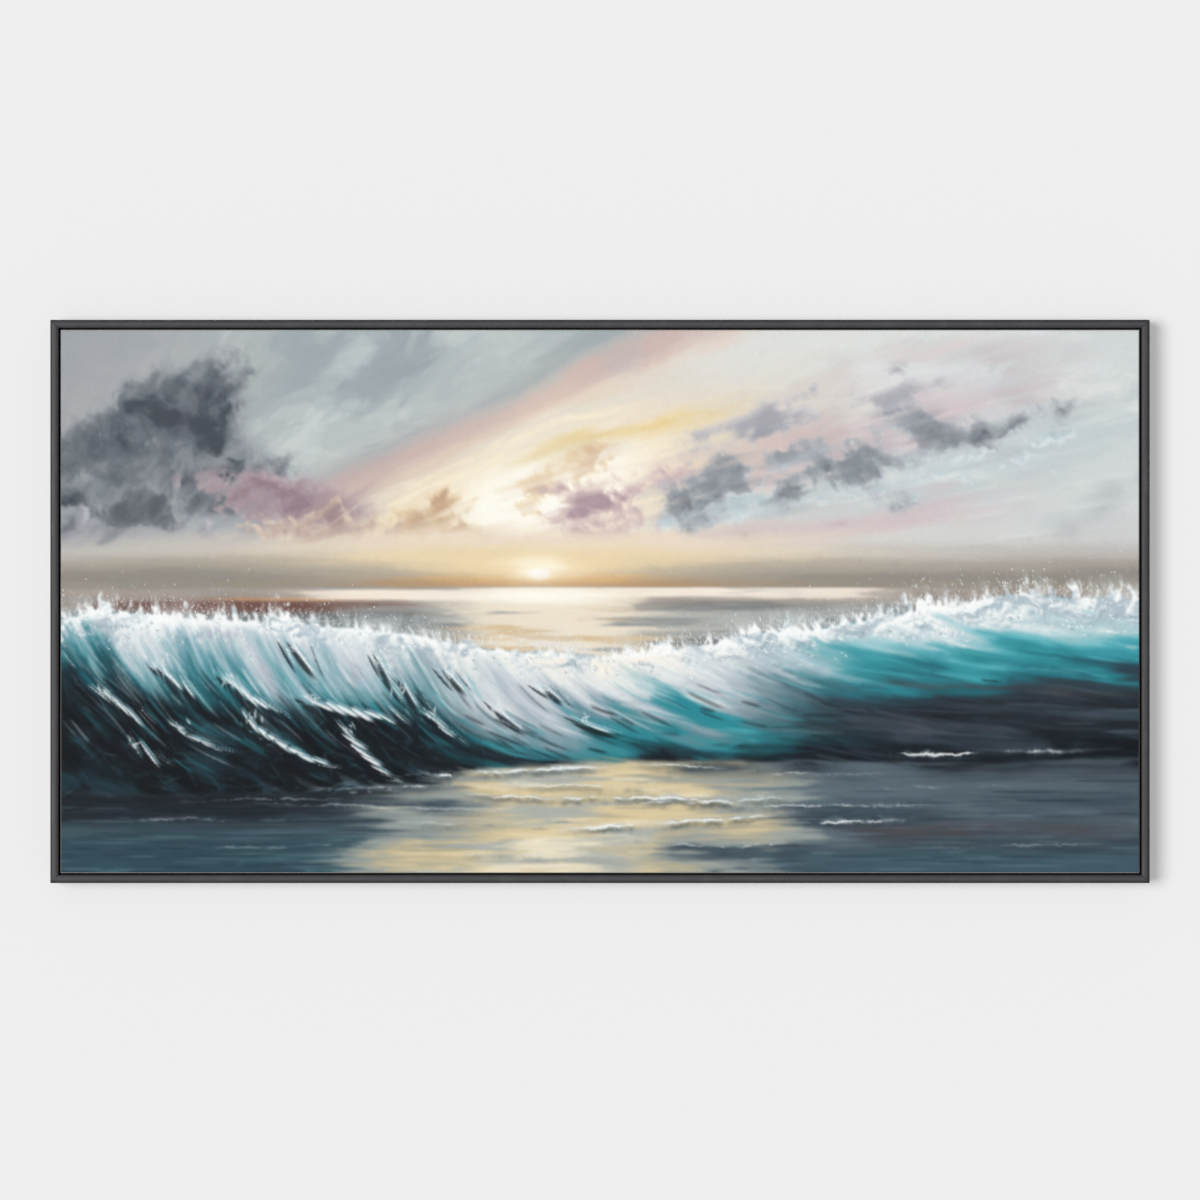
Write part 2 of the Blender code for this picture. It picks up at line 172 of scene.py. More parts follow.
WINDOW_LEFT = 28
window_strength = WINDOW_SHARE * math.pi / math.cos(math.radians(WINDOW_LEFT))
sunlight("window", left=WINDOW_LEFT, up=2, spread=28, strength=window_strength)
lamp = sunlight("lamp at the lens", left=0, up=0, spread=1.5, strength=LAMP_SHARE * math.pi)
lamp.visible_glossy = False
sunlight("light from behind", left=160, up=35, spread=20, strength=2.6)

world = bpy.data.worlds.new("white room")
world.use_nodes = True
bpy.context.scene.world = world
room = world.node_tree
room.nodes.clear()
seen = add(room, "ShaderNodeBackground", {"Color": linear("#EFEFEF"), "Strength": 1.0})
lit = add(room, "ShaderNodeBackground", {"Color": linear("#FFFFFF"), "Strength": ROOM_SHARE})
ray = add(room, "ShaderNodeLightPath")
both = add(room, "ShaderNodeMixShader", {0: ray.outputs["Is Camera Ray"], 1: lit.outputs[0],
                                         2: seen.outputs[0]})
add(room, "ShaderNodeOutputWorld", {"Surface": both.outputs[0]})
view = bpy.context.scene.view_settings
view.view_transform = "Standard"
view.look = "None"
print("shares of light", WINDOW_SHARE, LAMP_SHARE, ROOM_SHARE)

# %% [markdown]
# The wall is stage, not part of the object. It only takes the shadow: it blocks no light, and
# from behind it is see-through, so that the picture's back can be looked at where it hangs.

# %% The wall behind
WALL_HALF = 2.0
WALL_GAP = 0.0006
upright = Matrix.Rotation(math.radians(90), 4, "X")
shape = bmesh.new()
bmesh.ops.create_grid(shape, x_segments=1, y_segments=1, size=WALL_HALF, matrix=upright)
wall_mesh = bpy.data.meshes.new("wall")
shape.to_mesh(wall_mesh)
shape.free()
wall = bpy.data.objects.new("wall", wall_mesh)
wall.location = (0, WALL_GAP, middle[2])
wall.visible_diffuse = wall.visible_glossy = False
wall.visible_transmission = wall.visible_shadow = False
bpy.context.scene.collection.objects.link(wall)
emulsion = "matt emulsion, rolled on a plaster wall"
wall_paint, tree, place = new_finish(emulsion, Roughness=0.95, Specular_IOR_Level=0.0)
rolled = add(tree, "ShaderNodeTexNoise", {"Vector": place, "Scale": 250.0, "Detail": 3.0})
tones = {0: rolled.outputs["Fac"], 6: linear("#EEEEEE"), 7: linear("#F0F0F0")}
feed(tree, Base_Color=add(tree, "ShaderNodeMix", tones, data_type="RGBA").outputs[2])
back = add(tree, "ShaderNodeNewGeometry").outputs["Backfacing"]
matt = tree.nodes["Principled BSDF"].outputs[0]
clear = add(tree, "ShaderNodeBsdfTransparent").outputs[0]
one_sided = add(tree, "ShaderNodeMixShader", {0: back, 1: matt, 2: clear})
tree.links.new(one_sided.outputs[0], tree.nodes["Material Output"].inputs["Surface"])
wall_mesh.materials.append(wall_paint)
print("wall faces", [round(v, 2) for v in wall_mesh.polygons[0].normal])
# %% [markdown]
# ## How the picture is painted
#
# A painter lays broad areas of thin colour first, then works over them with a loaded brush
# that follows the forms, and last adds thick knife strokes and spray. The same order is used
# here on a fine grid of cells, one a little under a millimetre across. Each cell holds a
# colour and a height, so that paint laid thickly really stands up when the grid becomes a
# mesh. Nothing is read from a picture file: every shape is worked out from soft ovals, bands
# and noise.

# %% The painter's grid
picture_width = 1.200
picture_height = 0.604
WIDE = 1440
TALL = int(round(WIDE * picture_height / picture_width))
ASPECT = picture_width / picture_height
# One row and one column of shares, which numpy spreads over the whole grid where they meet
across = ((np.arange(WIDE) + 0.5) / WIDE).astype(np.float32)[None, :]
down = ((np.arange(TALL) + 0.5) / TALL).astype(np.float32)[:, None]
along = across * ASPECT
paint = np.ones((TALL, WIDE, 3), np.float32) * 0.8
relief = np.zeros((TALL, WIDE), np.float32)
print("grid", WIDE, "by", TALL, "cells of", round(picture_width / WIDE * 1000, 2), "mm")

# %% [markdown]
# Noise stands for all that a hand does unevenly. Value noise is a table of random numbers
# blended smoothly from one to the next, and several sizes of it added together look like
# clouds. Noise read at places that other noise has shifted curls like smoke. Ramps and ovals
# place the broad areas.

# %% Noise, ramps and ovals
random_table = np.random.default_rng(7).random(256 * 256).astype(np.float32)


def grain(x, y, seed=0):
    """Smooth noise from 0 to 1, with one feature to a unit of x and y."""
    x, y = x + np.float32(17.3 * seed), y + np.float32(5.7 * seed)
    i, j = np.floor(x).astype(np.int32), np.floor(y).astype(np.int32)
    fx, fy = x - i, y - j
    fx, fy = fx * fx * (3 - 2 * fx), fy * fy * (3 - 2 * fy)
    i, i2, j, j2 = (i & 255) << 8, (i + 1 & 255) << 8, j & 255, j + 1 & 255
    low, high = random_table.take(i + j), random_table.take(i + j2)
    low = low + (random_table.take(i2 + j) - low) * fx
    high = high + (random_table.take(i2 + j2) - high) * fx
    return low + (high - low) * fy


def billow(x, y, seed=0, sizes=5, fade=0.5):
    """Noise of several sizes, each half as large as the last, from 0 to 1."""
    total, weight, share = 0, 0, 1.0
    for k in range(sizes):
        total = total + share * grain(x * 2**k, y * 2**k, seed + 3 * k)
        weight += share
        share *= fade
    return total / weight


def smoke(x, y, seed=0, curl=1.6, sizes=6, fade=0.55):
    """Noise that curls, because other noise shifts the places it is read at. From 0 to 1, about 0.5."""
    first, second = billow(x, y, seed + 40, 3) - 0.5, billow(x, y, seed + 41, 3) - 0.5
    value = billow(x + curl * first, y + curl * second, seed, sizes, fade)
    return np.clip(0.5 + (value - 0.5) * 1.5, 0, 1)


def ramp(value, start, end):
    """Rises smoothly from 0 at start to 1 at end."""
    share = np.clip((value - start) / (end - start), 0, 1)
    return share * share * (3 - 2 * share)


def profile(value, *stops):
    """Follows (place, height) stops in straight lines."""
    return np.interp(value, [s[0] for s in stops], [s[1] for s in stops]).astype(np.float32)


def oval(u, w, wide, tall, tilt=0.0, power=2.0):
    """1 in the middle of a soft oval and 0 far from it. Its sizes are shares of the picture's height."""
    dx, dy = (across - u) * ASPECT, down - w
    c, s = math.cos(math.radians(tilt)), math.sin(math.radians(tilt))
    return np.exp(-((((dx * c + dy * s) / wide) ** 2 + ((dy * c - dx * s) / tall) ** 2) ** (power / 2)))


def facing(field, right, up):
    """How far each place of a lumpy field faces a light that lies that many cells right and up."""
    rows, columns = np.clip(np.arange(TALL) - up, 0, TALL - 1), np.clip(np.arange(WIDE) + right, 0, WIDE - 1)
    return field - field[rows[:, None], columns]


def pigment(code):
    """A hex colour as red, green and blue shares, still in sRGB, as paint is mixed by eye."""
    return np.array([int(code[i : i + 2], 16) / 255 for i in (1, 3, 5)], np.float32)


# %% [markdown]
# The composition is a handful of lines. Rays of the sky fan out from a point below the left
# edge. The wave runs between a crest line, which dips in the middle, and a foot line. Between
# them the water falls to the right, steeply on the left and nearly level on the right, and
# that fall is also the way the brush went.

# %% The composition's lines
fan = np.degrees(np.arctan2(0.60 - down, along + 0.09))
ray_length = np.hypot(0.60 - down, along + 0.09)
crest_places = (0, 0.06, 0.15, 0.24, 0.33, 0.42, 0.50, 0.57, 0.65, 0.73, 0.81, 0.90, 1.0)
crest_heights = (0.532, 0.522, 0.530, 0.544, 0.563, 0.588, 0.600, 0.590, 0.566, 0.540, 0.510, 0.490, 0.500)
foot_places = (0, 0.12, 0.26, 0.38, 0.50, 0.65, 0.80, 1.0)
foot_heights = (0.850, 0.862, 0.850, 0.815, 0.797, 0.792, 0.800, 0.790)


def crest_at(u):
    return np.interp(u, crest_places, crest_heights)


def foot_at(u):
    return np.interp(u, foot_places, foot_heights)


wander = (billow(along * 9, 0.0, 121, 4) - 0.5).astype(np.float32)
crest = (crest_at(across) + 0.024 * wander).astype(np.float32)
foot = (foot_at(across) - 0.016 * wander).astype(np.float32)
fall = (down - crest) / (foot - crest)
lean = profile(across, (0, 62), (0.30, 55), (0.50, 40), (0.70, 20), (1.0, 6))
lumps = smoke(along * 4.2, down * 4.8, 31)
turbulence = smoke(along * 11, down * 12, 33, 2.0, 5, 0.6) - 0.5
crumbs = billow(along * 46, down * 46, 35, 4, 0.7) - 0.5

storm = np.clip(oval(0.10, 0.22, 0.42, 0.20, 0, 3), 0, 1)
sky_turn = -fan * 0.96 + 16 * (billow(along * 4, down * 5, 103, 3) - 0.5)
sky_turn = sky_turn * (1 - storm) + storm * (220 * (lumps - 0.5) - 40)
wave_turn = lean * (1.14 - 0.80 * np.clip(fall, 0, 1) ** 1.3)
wave_turn = wave_turn + 30 * (billow(along * 5, down * 7, 105, 3) - 0.5)
in_wave = ramp(fall, -0.05, 0.03) * ramp(fall, 1.06, 0.96)
brush_angle = np.radians(sky_turn * (1 - ramp(down, 0.34, 0.42)) * (1 - in_wave) + wave_turn * in_wave)
go_right, go_down = np.cos(brush_angle).astype(np.float32), np.sin(brush_angle).astype(np.float32)
print("crest from", round(float(crest.min()), 3), "to", round(float(crest.max()), 3), "of the height")

# %% [markdown]
# A brush leaves fine furrows along its path. They are made by combing random dots along the
# brush's direction: each cell takes the mean of the dots that a bristle would pass over. The
# same combing of coarser dots gives the bands of a wide brush, and long ribbons in the water.


# %% Bristle furrows, brush bands and ribbons
def combed(dots, reach, stride):
    """The mean of the dots along the brush's path, both ways, spread over 0 to 1."""
    total = dots.copy()
    rows, columns = np.indices(dots.shape, dtype=np.float32)
    for way in (stride, -stride):
        x, y = columns.copy(), rows.copy()
        for _ in range(reach):
            ix, iy = np.clip(x, 0, WIDE - 1).astype(np.int32), np.clip(y, 0, TALL - 1).astype(np.int32)
            x += way * go_right[iy, ix]
            y += way * go_down[iy, ix]
            ix, iy = np.clip(x, 0, WIDE - 1).astype(np.int32), np.clip(y, 0, TALL - 1).astype(np.int32)
            total += dots[iy, ix]
    total = (total - total.mean()) / total.std()
    return (0.5 + 0.5 * np.tanh(0.9 * total)).astype(np.float32)


dots = np.random.default_rng(3).random((TALL, WIDE)).astype(np.float32)
furrows = combed(dots, 10, 1.3)
bands = combed(billow(along * 110, down * 110, 5, 2), 14, 3.0)
ribbons = combed(billow(along * 38, down * 38, 6, 3, 0.6), 12, 6.0)
brush_marks = 0.4 * furrows + 0.6 * bands
print("furrows spread", round(float(furrows.std()), 3), "ribbons spread", round(float(ribbons.std()), 3))


def lay(code, mask, dry=0.5, body=0.25, streaks=None):
    """Lays a colour where the mask is high. Dry paint breaks at its edges along the furrows."""
    mask = np.broadcast_to(np.clip(mask, 0, 1), (TALL, WIDE))
    rows, columns = np.flatnonzero(mask.max(axis=1) > 0.004), np.flatnonzero(mask.max(axis=0) > 0.004)
    if not len(rows):
        return
    part = (slice(rows[0], rows[-1] + 1), slice(columns[0], columns[-1] + 1))
    mask, marks = mask[part], (brush_marks if streaks is None else streaks)[part]
    edge = mask + 2.4 * dry * (marks - 0.5) * mask * (1 - mask) * 2
    mask = mask * (1 - dry) + dry * ramp(edge, 0.24, 0.76)
    paint[part] += (pigment(code) - paint[part]) * mask[..., None]
    relief[part] += (body * (0.35 + 0.65 * marks) - relief[part]) * mask * 0.8


# %% [markdown]
# ## The sky
#
# Cool grey above the storm on the left, pale blue on the right, and between them rays of
# rose, peach and butter yellow that open from the sun's glow. The colours are laid by their
# angle in the fan, shaken by noise, so that they run together like wet paint.

# %% Lay in the sky
drift = smoke(ray_length * 1.9, fan * 0.10, 3, 1.2, 4) - 0.5
feather = smoke(ray_length * 5, fan * 0.5, 9, 1.2, 5, 0.6) - 0.5
rays = fan + 4.5 * drift + 2.6 * feather
wisps = smoke(along * 4 + 2 * drift, down * 6, 11, 1.5, 6)
soft_wisps = smoke(along * 8, down * 12, 12, 1.5, 6)

lay("#AEB5B8", 1.0, 0)
lay("#A6A8AC", ramp(across, 0.22, 0.0), 0.1)
lay("#BAC4C5", ramp(across, 0.10, 0.30) * ramp(rays, 26, 34), 0.2)
lay("#CAD2D1", ramp(wisps, 0.50, 0.70) * ramp(rays, 27, 33) * ramp(across, 0.02, 0.25) * 0.85, 0.2)
lay("#98A4AA", ramp(wisps, 0.50, 0.30) * ramp(rays, 26, 33) * ramp(across, 0.06, 0.3) * 0.8, 0.2)
lay("#9AA3A8", ramp(soft_wisps, 0.46, 0.30) * ramp(rays, 28, 34) * 0.35, 0.2)
broken = 0.65 + 0.35 * ramp(soft_wisps + 0.5 * feather, 0.36, 0.60)
right_sky = ramp(rays, 28, 23.5)
lay("#D3D8D8", right_sky, 0.3)
lay("#DEE1E0", right_sky * ramp(wisps, 0.46, 0.66), 0.2)
lay("#C9D1D4", right_sky * ramp(soft_wisps, 0.55, 0.75) * 0.55, 0.3)
slate = profile(rays, (28, 0), (29.6, 0.8), (32, 0.35), (37, 0))
lay("#97A4AB", slate * ramp(across, 0.16, 0.30) * broken, 0.3)
peach = profile(rays, (24.6, 0), (25.8, 1), (27.6, 0.9), (29.4, 0))
lay("#CCB2AE", peach * ramp(along, 0.3, 0.5) * broken, 0.3)
lay("#E4D2C4", profile(rays, (24.2, 0), (25.4, 0.85), (26.6, 0)) * ramp(along, 0.55, 0.95), 0.3)
dusky = profile(rays, (22.5, 0), (25.5, 0.95), (28.0, 0.85), (31.5, 0))
lay("#B39BA0", dusky * ramp(across, 0.12, 0.2) * ramp(across, 0.50, 0.26) * broken, 0.3)
rose = profile(rays, (13.2, 0), (14.8, 0.95), (16.8, 0.95), (18.6, 0))
lay("#CBB3BA", rose * profile(across, (0.5, 0), (0.58, 1), (0.84, 0.85), (0.97, 0)) * broken, 0.3)
lay("#DCCFD0", profile(rays, (17.6, 0), (19.0, 0.6), (20.6, 0)) * ramp(across, 0.56, 0.75), 0.3)
lay("#C4CED1", profile(rays, (9.4, 0), (11.2, 0.9), (13.6, 0.7), (15, 0)) * ramp(across, 0.6, 0.72), 0.3)
low_rose = profile(rays, (7.6, 0), (9.2, 0.9), (10.6, 0.8), (12, 0))
lay("#D2BFC3", low_rose * profile(across, (0.46, 0), (0.56, 1), (0.8, 0.8), (0.95, 0)), 0.3)
lay("#CCCBCE", profile(rays, (2, 1), (6, 0.9), (8.6, 0)) * ramp(across, 0.55, 0.75), 0.3)
lay("#DDE2E2", right_sky * ramp(across, 0.62, 0.8) * ramp(feather, 0.12, 0.26) * 0.6, 0.3)
high_sky = right_sky * ramp(down, 0.17, 0.05) * ramp(across, 0.46, 0.54)
lay("#DCE3E5", high_sky * ramp(wisps, 0.40, 0.60) * 0.85, 0.3)
print("sky laid")

# %% [markdown]
# The light behind the cloud is the brightest place in the picture. It is built as a stack of
# soft ovals, from dull peach outside to nearly white inside, tilted along the rays.

# %% The glow
shaken = 0.10 * drift + 0.10 * feather + 0.16 * (soft_wisps - 0.5)
lay("#E0CDC1", oval(0.41, 0.33, 0.58, 0.150, -20) * 0.9, 0.3)
lay("#EFDDBB", oval(0.42, 0.32, 0.43, 0.120, -20) * 0.95 + shaken * 0.6, 0.3)
low_glow = 0.8 * oval(0.45, 0.37, 0.30, 0.055)
lay("#F8ECD2", oval(0.44, 0.31, 0.30, 0.105, -22) + low_glow + shaken, 0.3)
lay("#FFFCF2", oval(0.445, 0.30, 0.21, 0.088, -20, 3) + shaken * oval(0.44, 0.31, 0.4, 0.15), 0.2, 0.5)
yellow = profile(across, (0.40, 0), (0.47, 1), (0.58, 0.95), (0.66, 0))
lay("#EBD6A2", profile(rays, (18.9, 0), (20.2, 0.95), (21.4, 0)) * yellow, 0.3)
lay("#E9CF93", profile(rays, (19.5, 0), (20.4, 0.8), (21.0, 0)) * yellow * ramp(feather, -0.02, 0.1), 0.4)
cream = profile(across, (0.18, 0), (0.26, 0.9), (0.50, 0.9), (0.58, 0))
lay("#FAEED4", profile(rays, (21.4, 0), (22.5, 0.9), (23.8, 0)) * cream, 0.4, 0.4)
thread = profile(across, (0.24, 0), (0.3, 0.9), (0.44, 0.9), (0.5, 0))
lay("#F8E9D2", profile(rays, (23.7, 0), (24.1, 0.85), (24.5, 0)) * thread, 0.5, 0.5)
print("brightest paint", np.round(paint.max(axis=(0, 1)), 2))

# %% [markdown]
# ## Clouds
#
# A cloud in oils is a body of one grey with ragged edges, darker where it is thick and with
# lighter paint dragged along the sides that face the light. Each body is a group of ovals
# whose outline curling noise has torn. A storm fills the left edge, small warm puffs lie
# under the glow, and a chain of grey clouds with pale undersides climbs along one ray.


# %% A cloud's shades
def cloud(body, torn, edge, middle, heart, rim, amount=1.0, light=(8, 4)):
    """Lays a cloud. body is 1 inside its outline and 0 outside, and noise about 0 tears it."""
    amount = amount * ramp(body, 0.04, 0.30)
    depth = body - 0.45 + torn + 0.6 * crumbs
    lit = facing(depth, *light)
    shape = ramp(depth, -0.12, 0.16) * amount
    lay(edge, shape * 0.9, 0.3, 0.3)
    lay(middle, ramp(depth, 0.06, 0.34) * amount, 0.3, 0.35)
    lay(heart, ramp(depth, 0.26, 0.62) * amount * 0.9, 0.3, 0.4)
    lay(heart, ramp(-lit, 0.12, 0.32) * ramp(depth, 0.05, 0.3) * amount * 0.55, 0.3, 0.35)
    lay(rim, ramp(lit, 0.12, 0.32) * shape * ramp(depth, 0.9, 0.3) * 0.7, 0.4, 0.6)
    return depth * amount


# %% The storm on the left
body = 1.0 * oval(0.02, 0.290, 0.28, 0.115, -10, 3) + 1.0 * oval(0.085, 0.220, 0.17, 0.110, -42, 3)
body = body + 0.7 * oval(0.130, 0.125, 0.095, 0.070, -52, 2.4)
body = body + 0.8 * oval(0.160, 0.285, 0.11, 0.075, 24, 2.4)
body = np.clip(body, 0, 0.88)
mass = smoke(along * 6, down * 7, 49, 2.0, 5) - 0.5
lay("#9BA1A6", ramp(body + 0.7 * mass, 0.02, 0.7) * 0.8, 0.2)
torn = smoke(along * 11, down * 12, 38, 2.0, 5, 0.6) - 0.5
tearing = 0.5 * mass + 1.0 * torn
deep = cloud(body, tearing, "#868C92", "#70767D", "#595F67", "#9BA2A8", 0.95)
lay("#454B53", ramp(deep + 0.6 * torn + 0.6 * mass, 0.46, 0.85) * 0.85, 0.3, 0.4)
lay("#959CA2", ramp(torn, -0.06, -0.24) * ramp(deep, 0.0, 0.35) * 0.6, 0.3, 0.4)
low_bank = 0.8 * profile(down, (0.31, 0), (0.36, 1), (0.40, 0.9), (0.43, 0)) * ramp(across, 0.32, 0.16)
cloud(low_bank, tearing, "#A9ACB2", "#A0A3AA", "#8E929A", "#C6C5CA", 0.85)
rosy = 0.7 * oval(0.190, 0.325, 0.17, 0.055, 8, 2)
cloud(rosy, 1.6 * turbulence + 0.8 * mass, "#B7A8AE", "#A8939B", "#8C7580", "#CFBCC2", 0.75)
tufts = oval(0.10, 0.335, 0.09, 0.045, 25, 3) + 0.9 * oval(0.035, 0.355, 0.07, 0.030, -10, 3)
cloud(0.75 * tufts, 1.8 * turbulence + 0.5 * mass, "#8F949A", "#70757C", "#585D65", "#AEB1B6", 0.85)
print("storm covers", round(float((deep > 0.2).mean()) * 100, 1), "% of the picture")

# %% Warm puffs, and the chain to the right
heap = smoke(along * 13, down * 16, 41, 2.2, 5, 0.6) - 0.5
crumbly = smoke(along * 24, down * 28, 43, 2.2, 4, 0.6) - 0.5
# Each puff: its oval, how solid it is, how lumpy and crumbly its edge, its four tones from edge to
# heart and rim, how strongly it is laid, and the way to the light
warm_puffs = (
    ((0.33, 0.348, 0.30, 0.058, -7), 0.72, 1.6, 1.5,
     ("#EAD6B4", "#D9BC95", "#BC9B83", "#FCF3DB"), 0.75, (5, 5)),
    ((0.235, 0.360, 0.17, 0.045, -5), 0.75, 1.4, 1.3,
     ("#CFBCAE", "#B9A098", "#957D82", "#EFE0C6"), 0.8, (5, 5)),
    ((0.475, 0.29, 0.12, 0.066, -30), 0.65, 1.4, 1.8,
     ("#F2E2C0", "#E4CBA2", "#CFAE92", "#FDF5E2"), 0.65, (-5, 3)),
    ((0.53, 0.32, 0.20, 0.085, -12), 0.68, 1.4, 1.5,
     ("#E0CCC7", "#CDB5B7", "#A88F9A", "#F2E3D6"), 0.8, (-5, 3)),
)
for place, solid, lumpy, rough, tones, amount, light in warm_puffs:
    cloud(solid * oval(*place, 4), lumpy * heap + rough * crumbly, *tones, amount, light)

off_ray = fan - profile(across, (0.5, 14.4), (0.62, 13.6), (0.75, 13.0), (0.88, 13.2), (1.0, 13.0))
# Places across and the chain's thickness there, in degrees of the fan
chain_places = (
    0.535, 0.57, 0.605, 0.635, 0.66, 0.70, 0.722, 0.755, 0.79, 0.83, 0.855, 0.88, 0.90, 0.93, 0.96
)
chain_thickness = (0, 2.3, 2.8, 1.6, 2.6, 2.0, 0.8, 2.3, 2.8, 1.6, 0.8, 1.2, 0.4, 0.8, 0)
shifted = across + 0.06 * (lumps - 0.5) + 0.05 * turbulence
thick = profile(shifted, *zip(chain_places, chain_thickness))
band = ramp(thick, 0, 0.9) * np.exp(-((off_ray / (thick + 0.2)) ** 2))
under = ramp(-off_ray, 0.0, 1.4) * ramp(-off_ray, 4.0, 2.2) * ramp(thick, 0.1, 0.9)
cloud(0.8 * under, 1.6 * heap + 1.2 * crumbly, "#C4CFD2", "#C2D3D7", "#A9BBC1", "#E8EEEE", 0.8, (3, -7))
tearing = 0.7 * (lumps - 0.5) + 1.3 * turbulence + 1.3 * crumbly
cloud(0.95 * band, tearing, "#B6BBC0", "#9EA4AA", "#858B92", "#DFE6E8", 0.9, (4, -7))
lay("#62676F", ramp(band + crumbly, 0.6, 0.95) * ramp(turbulence, 0.02, 0.16) * 0.8, 0.4, 0.4)
upper = 0.75 * oval(0.655, 0.165, 0.28, 0.040, -17, 3) + 0.6 * oval(0.80, 0.110, 0.18, 0.024, -16, 3)
cloud(upper, 1.5 * turbulence + 0.9 * crumbly, "#C2C1C6", "#B0B0B7", "#9C9DA6", "#DCDADD", 0.7, (4, 6))
low_shade = profile(off_ray, (-5.0, 0), (-4.2, 0.8), (-3.7, 0))
low_shade = low_shade * profile(across, (0.56, 0), (0.6, 1), (0.7, 1), (0.76, 0))
lay("#9C8790", low_shade * ramp(heap, -0.05, 0.15), 0.4, 0.4)
print("the chain is up to", round(float(thick.max()), 1), "degrees thick")

# %% [markdown]
# ## Horizon and far water
#
# A band of warm haze hides the horizon. The sun sits on it as a small white disc. The far
# water is a strip of level strokes, cream where it catches the sun.

# %% Haze, sun and far water
level = down + 0.020 * (billow(along * 2.4, down * 26, 51, 4) - 0.5)
lay("#BDBBB8", ramp(level, 0.370, 0.415), 0.3)
lay("#ECDDCA", ramp(level, 0.345, 0.390) * oval(0.45, 0.40, 0.60, 0.085), 0.3)
lay("#A8A197", ramp(level, 0.405, 0.440), 0.3)
lay("#8F8A83", ramp(level, 0.425, 0.462) * ramp(np.abs(across - 0.45), 0.08, 0.32), 0.4)
lay("#9B9487", ramp(level, 0.45, 0.47) * 0.6, 0.4)
lay("#EBD6B0", oval(0.43, 0.420, 0.46, 0.026), 0.4)
lay("#B08E6C", oval(0.44, 0.468, 0.40, 0.011), 0.5)
lay("#CFA26C", oval(0.45, 0.458, 0.24, 0.011), 0.5)
lay("#F3DBB0", oval(0.444, 0.440, 0.20, 0.024), 0.3)
lay("#FFF6E0", oval(0.444, 0.440, 0.055, 0.024, 0, 2.4), 0.2)
lay("#FFFFFB", oval(0.444, 0.449, 0.021, 0.011, 0, 5), 0.1, 0.9)
sea = ramp(down, 0.472, 0.477)
ripples = billow(along * 3.4, down * 46, 61, 5, 0.6)
lay("#8D9293", sea, 0.2)
lay("#777B7D", sea * ramp(ripples, 0.5, 0.62) * 0.8, 0.5)
lay("#A6ACAC", sea * ramp(ripples, 0.46, 0.36) * 0.8, 0.5)
lay("#A89B90", sea * ramp(down, 0.535, 0.485) * 0.7, 0.5)
lay("#6F4F47", sea * oval(0.17, 0.508, 0.30, 0.015, 0, 3) * 0.9, 0.5)
lay("#B98E6C", sea * oval(0.22, 0.496, 0.24, 0.005, 0, 3) * 0.8, 0.5)
cream_band = profile(level, (0.472, 0), (0.478, 1), (0.492, 1), (0.500, 0))
lay("#F3E8DA", sea * cream_band * ramp(np.abs(across - 0.49), 0.33, 0.2), 0.5, 0.5)
glint = ramp(np.abs(across - 0.455), 0.17, 0.02)
lay("#B9B8B3", sea * ramp(np.abs(across - 0.53), 0.22, 0.08) * ramp(ripples, 0.56, 0.44) * 0.6, 0.4)
flicker = billow(along * 10, down * 90, 63, 3)
lay("#EFE3CE", sea * glint * ramp(flicker + 0.4 * glint, 0.46, 0.76) * 0.95, 0.5, 0.6)
lay("#D6BC95", sea * glint * ramp(ripples, 0.5, 0.6) * ramp(down, 0.5, 0.53) * 0.8, 0.5, 0.4)
lay("#FFFBF0", oval(0.447, 0.490, 0.16, 0.016, 0, 2), 0.3, 0.7)
print("far water starts at", 0.472)

# %% [markdown]
# ## The wave
#
# The falling water is silk: long strokes of turquoise, aqua and lilac grey that start in the
# foam and are pulled down to the dark foot. How far down the fall a point lies sets its
# colour, and the ribbons shift that, so the colours meet in long tongues. Under the silk on
# the left lies a dark trough, where curling noise stirs teal into black.

# %% Silk of the falling water
water = ramp(fall, -0.012, 0.012) * ramp(fall, 1.04, 0.98)
left, right = ramp(across, 0.46, 0.28), ramp(across, 0.60, 0.80)
centre_part = np.clip(1 - left - right, 0, 1)
folds = smoke(along * 7, down * 9, 73, 1.8, 5) - 0.5
stir = profile(across, (0, 0.20), (0.3, 0.24), (0.5, 0.30), (0.7, 0.16), (1, 0.10))
creased = profile(across, (0.5, 0.26), (0.75, 0.13), (1, 0.10))
depth = fall + stir * (ribbons - 0.5) + 0.10 * (bands - 0.5) + creased * folds
darker = (0, 0.20), (0.10, 0.03), (0.22, 0), (0.29, -0.12), (0.36, -0.04), (0.42, 0), (0.8, 0), (1, 0.06)
depth = depth + profile(across, *darker)
# Each tone: its colour, the depth where it starts and where it is full, and how strongly it is laid
left_tones = (
    ("#162A33", 0.76, 0.60, 1.0), ("#1B4C57", 0.64, 0.50, 1.0), ("#2A7681", 0.57, 0.43, 0.9),
    ("#6B9FAA", 0.51, 0.35, 0.85), ("#A0BCC5", 0.44, 0.26, 0.85), ("#C9D4DA", 0.35, 0.13, 0.9),
    ("#E6EBEC", 0.22, 0.04, 0.9),
)
centre_tones = (
    ("#20303A", 1.0, 0.90, 1.0), ("#1E5E69", 0.96, 0.84, 1.0), ("#2D8B96", 0.90, 0.76, 1.0),
    ("#5D8791", 0.82, 0.64, 0.8), ("#94A5B0", 0.72, 0.50, 0.95), ("#BCC6CE", 0.60, 0.38, 0.9),
    ("#E3E6E7", 0.48, 0.26, 0.95),
)
right_tones = (
    ("#303942", 1.02, 0.66, 1.0), ("#2D4651", 0.66, 0.50, 0.9), ("#26707C", 0.58, 0.45, 0.95),
    ("#3795A0", 0.50, 0.38, 1.0), ("#62B5BF", 0.40, 0.28, 0.9), ("#B5D6DB", 0.30, 0.18, 0.9),
)
lay("#12181E", water, 0.1, 0.3)
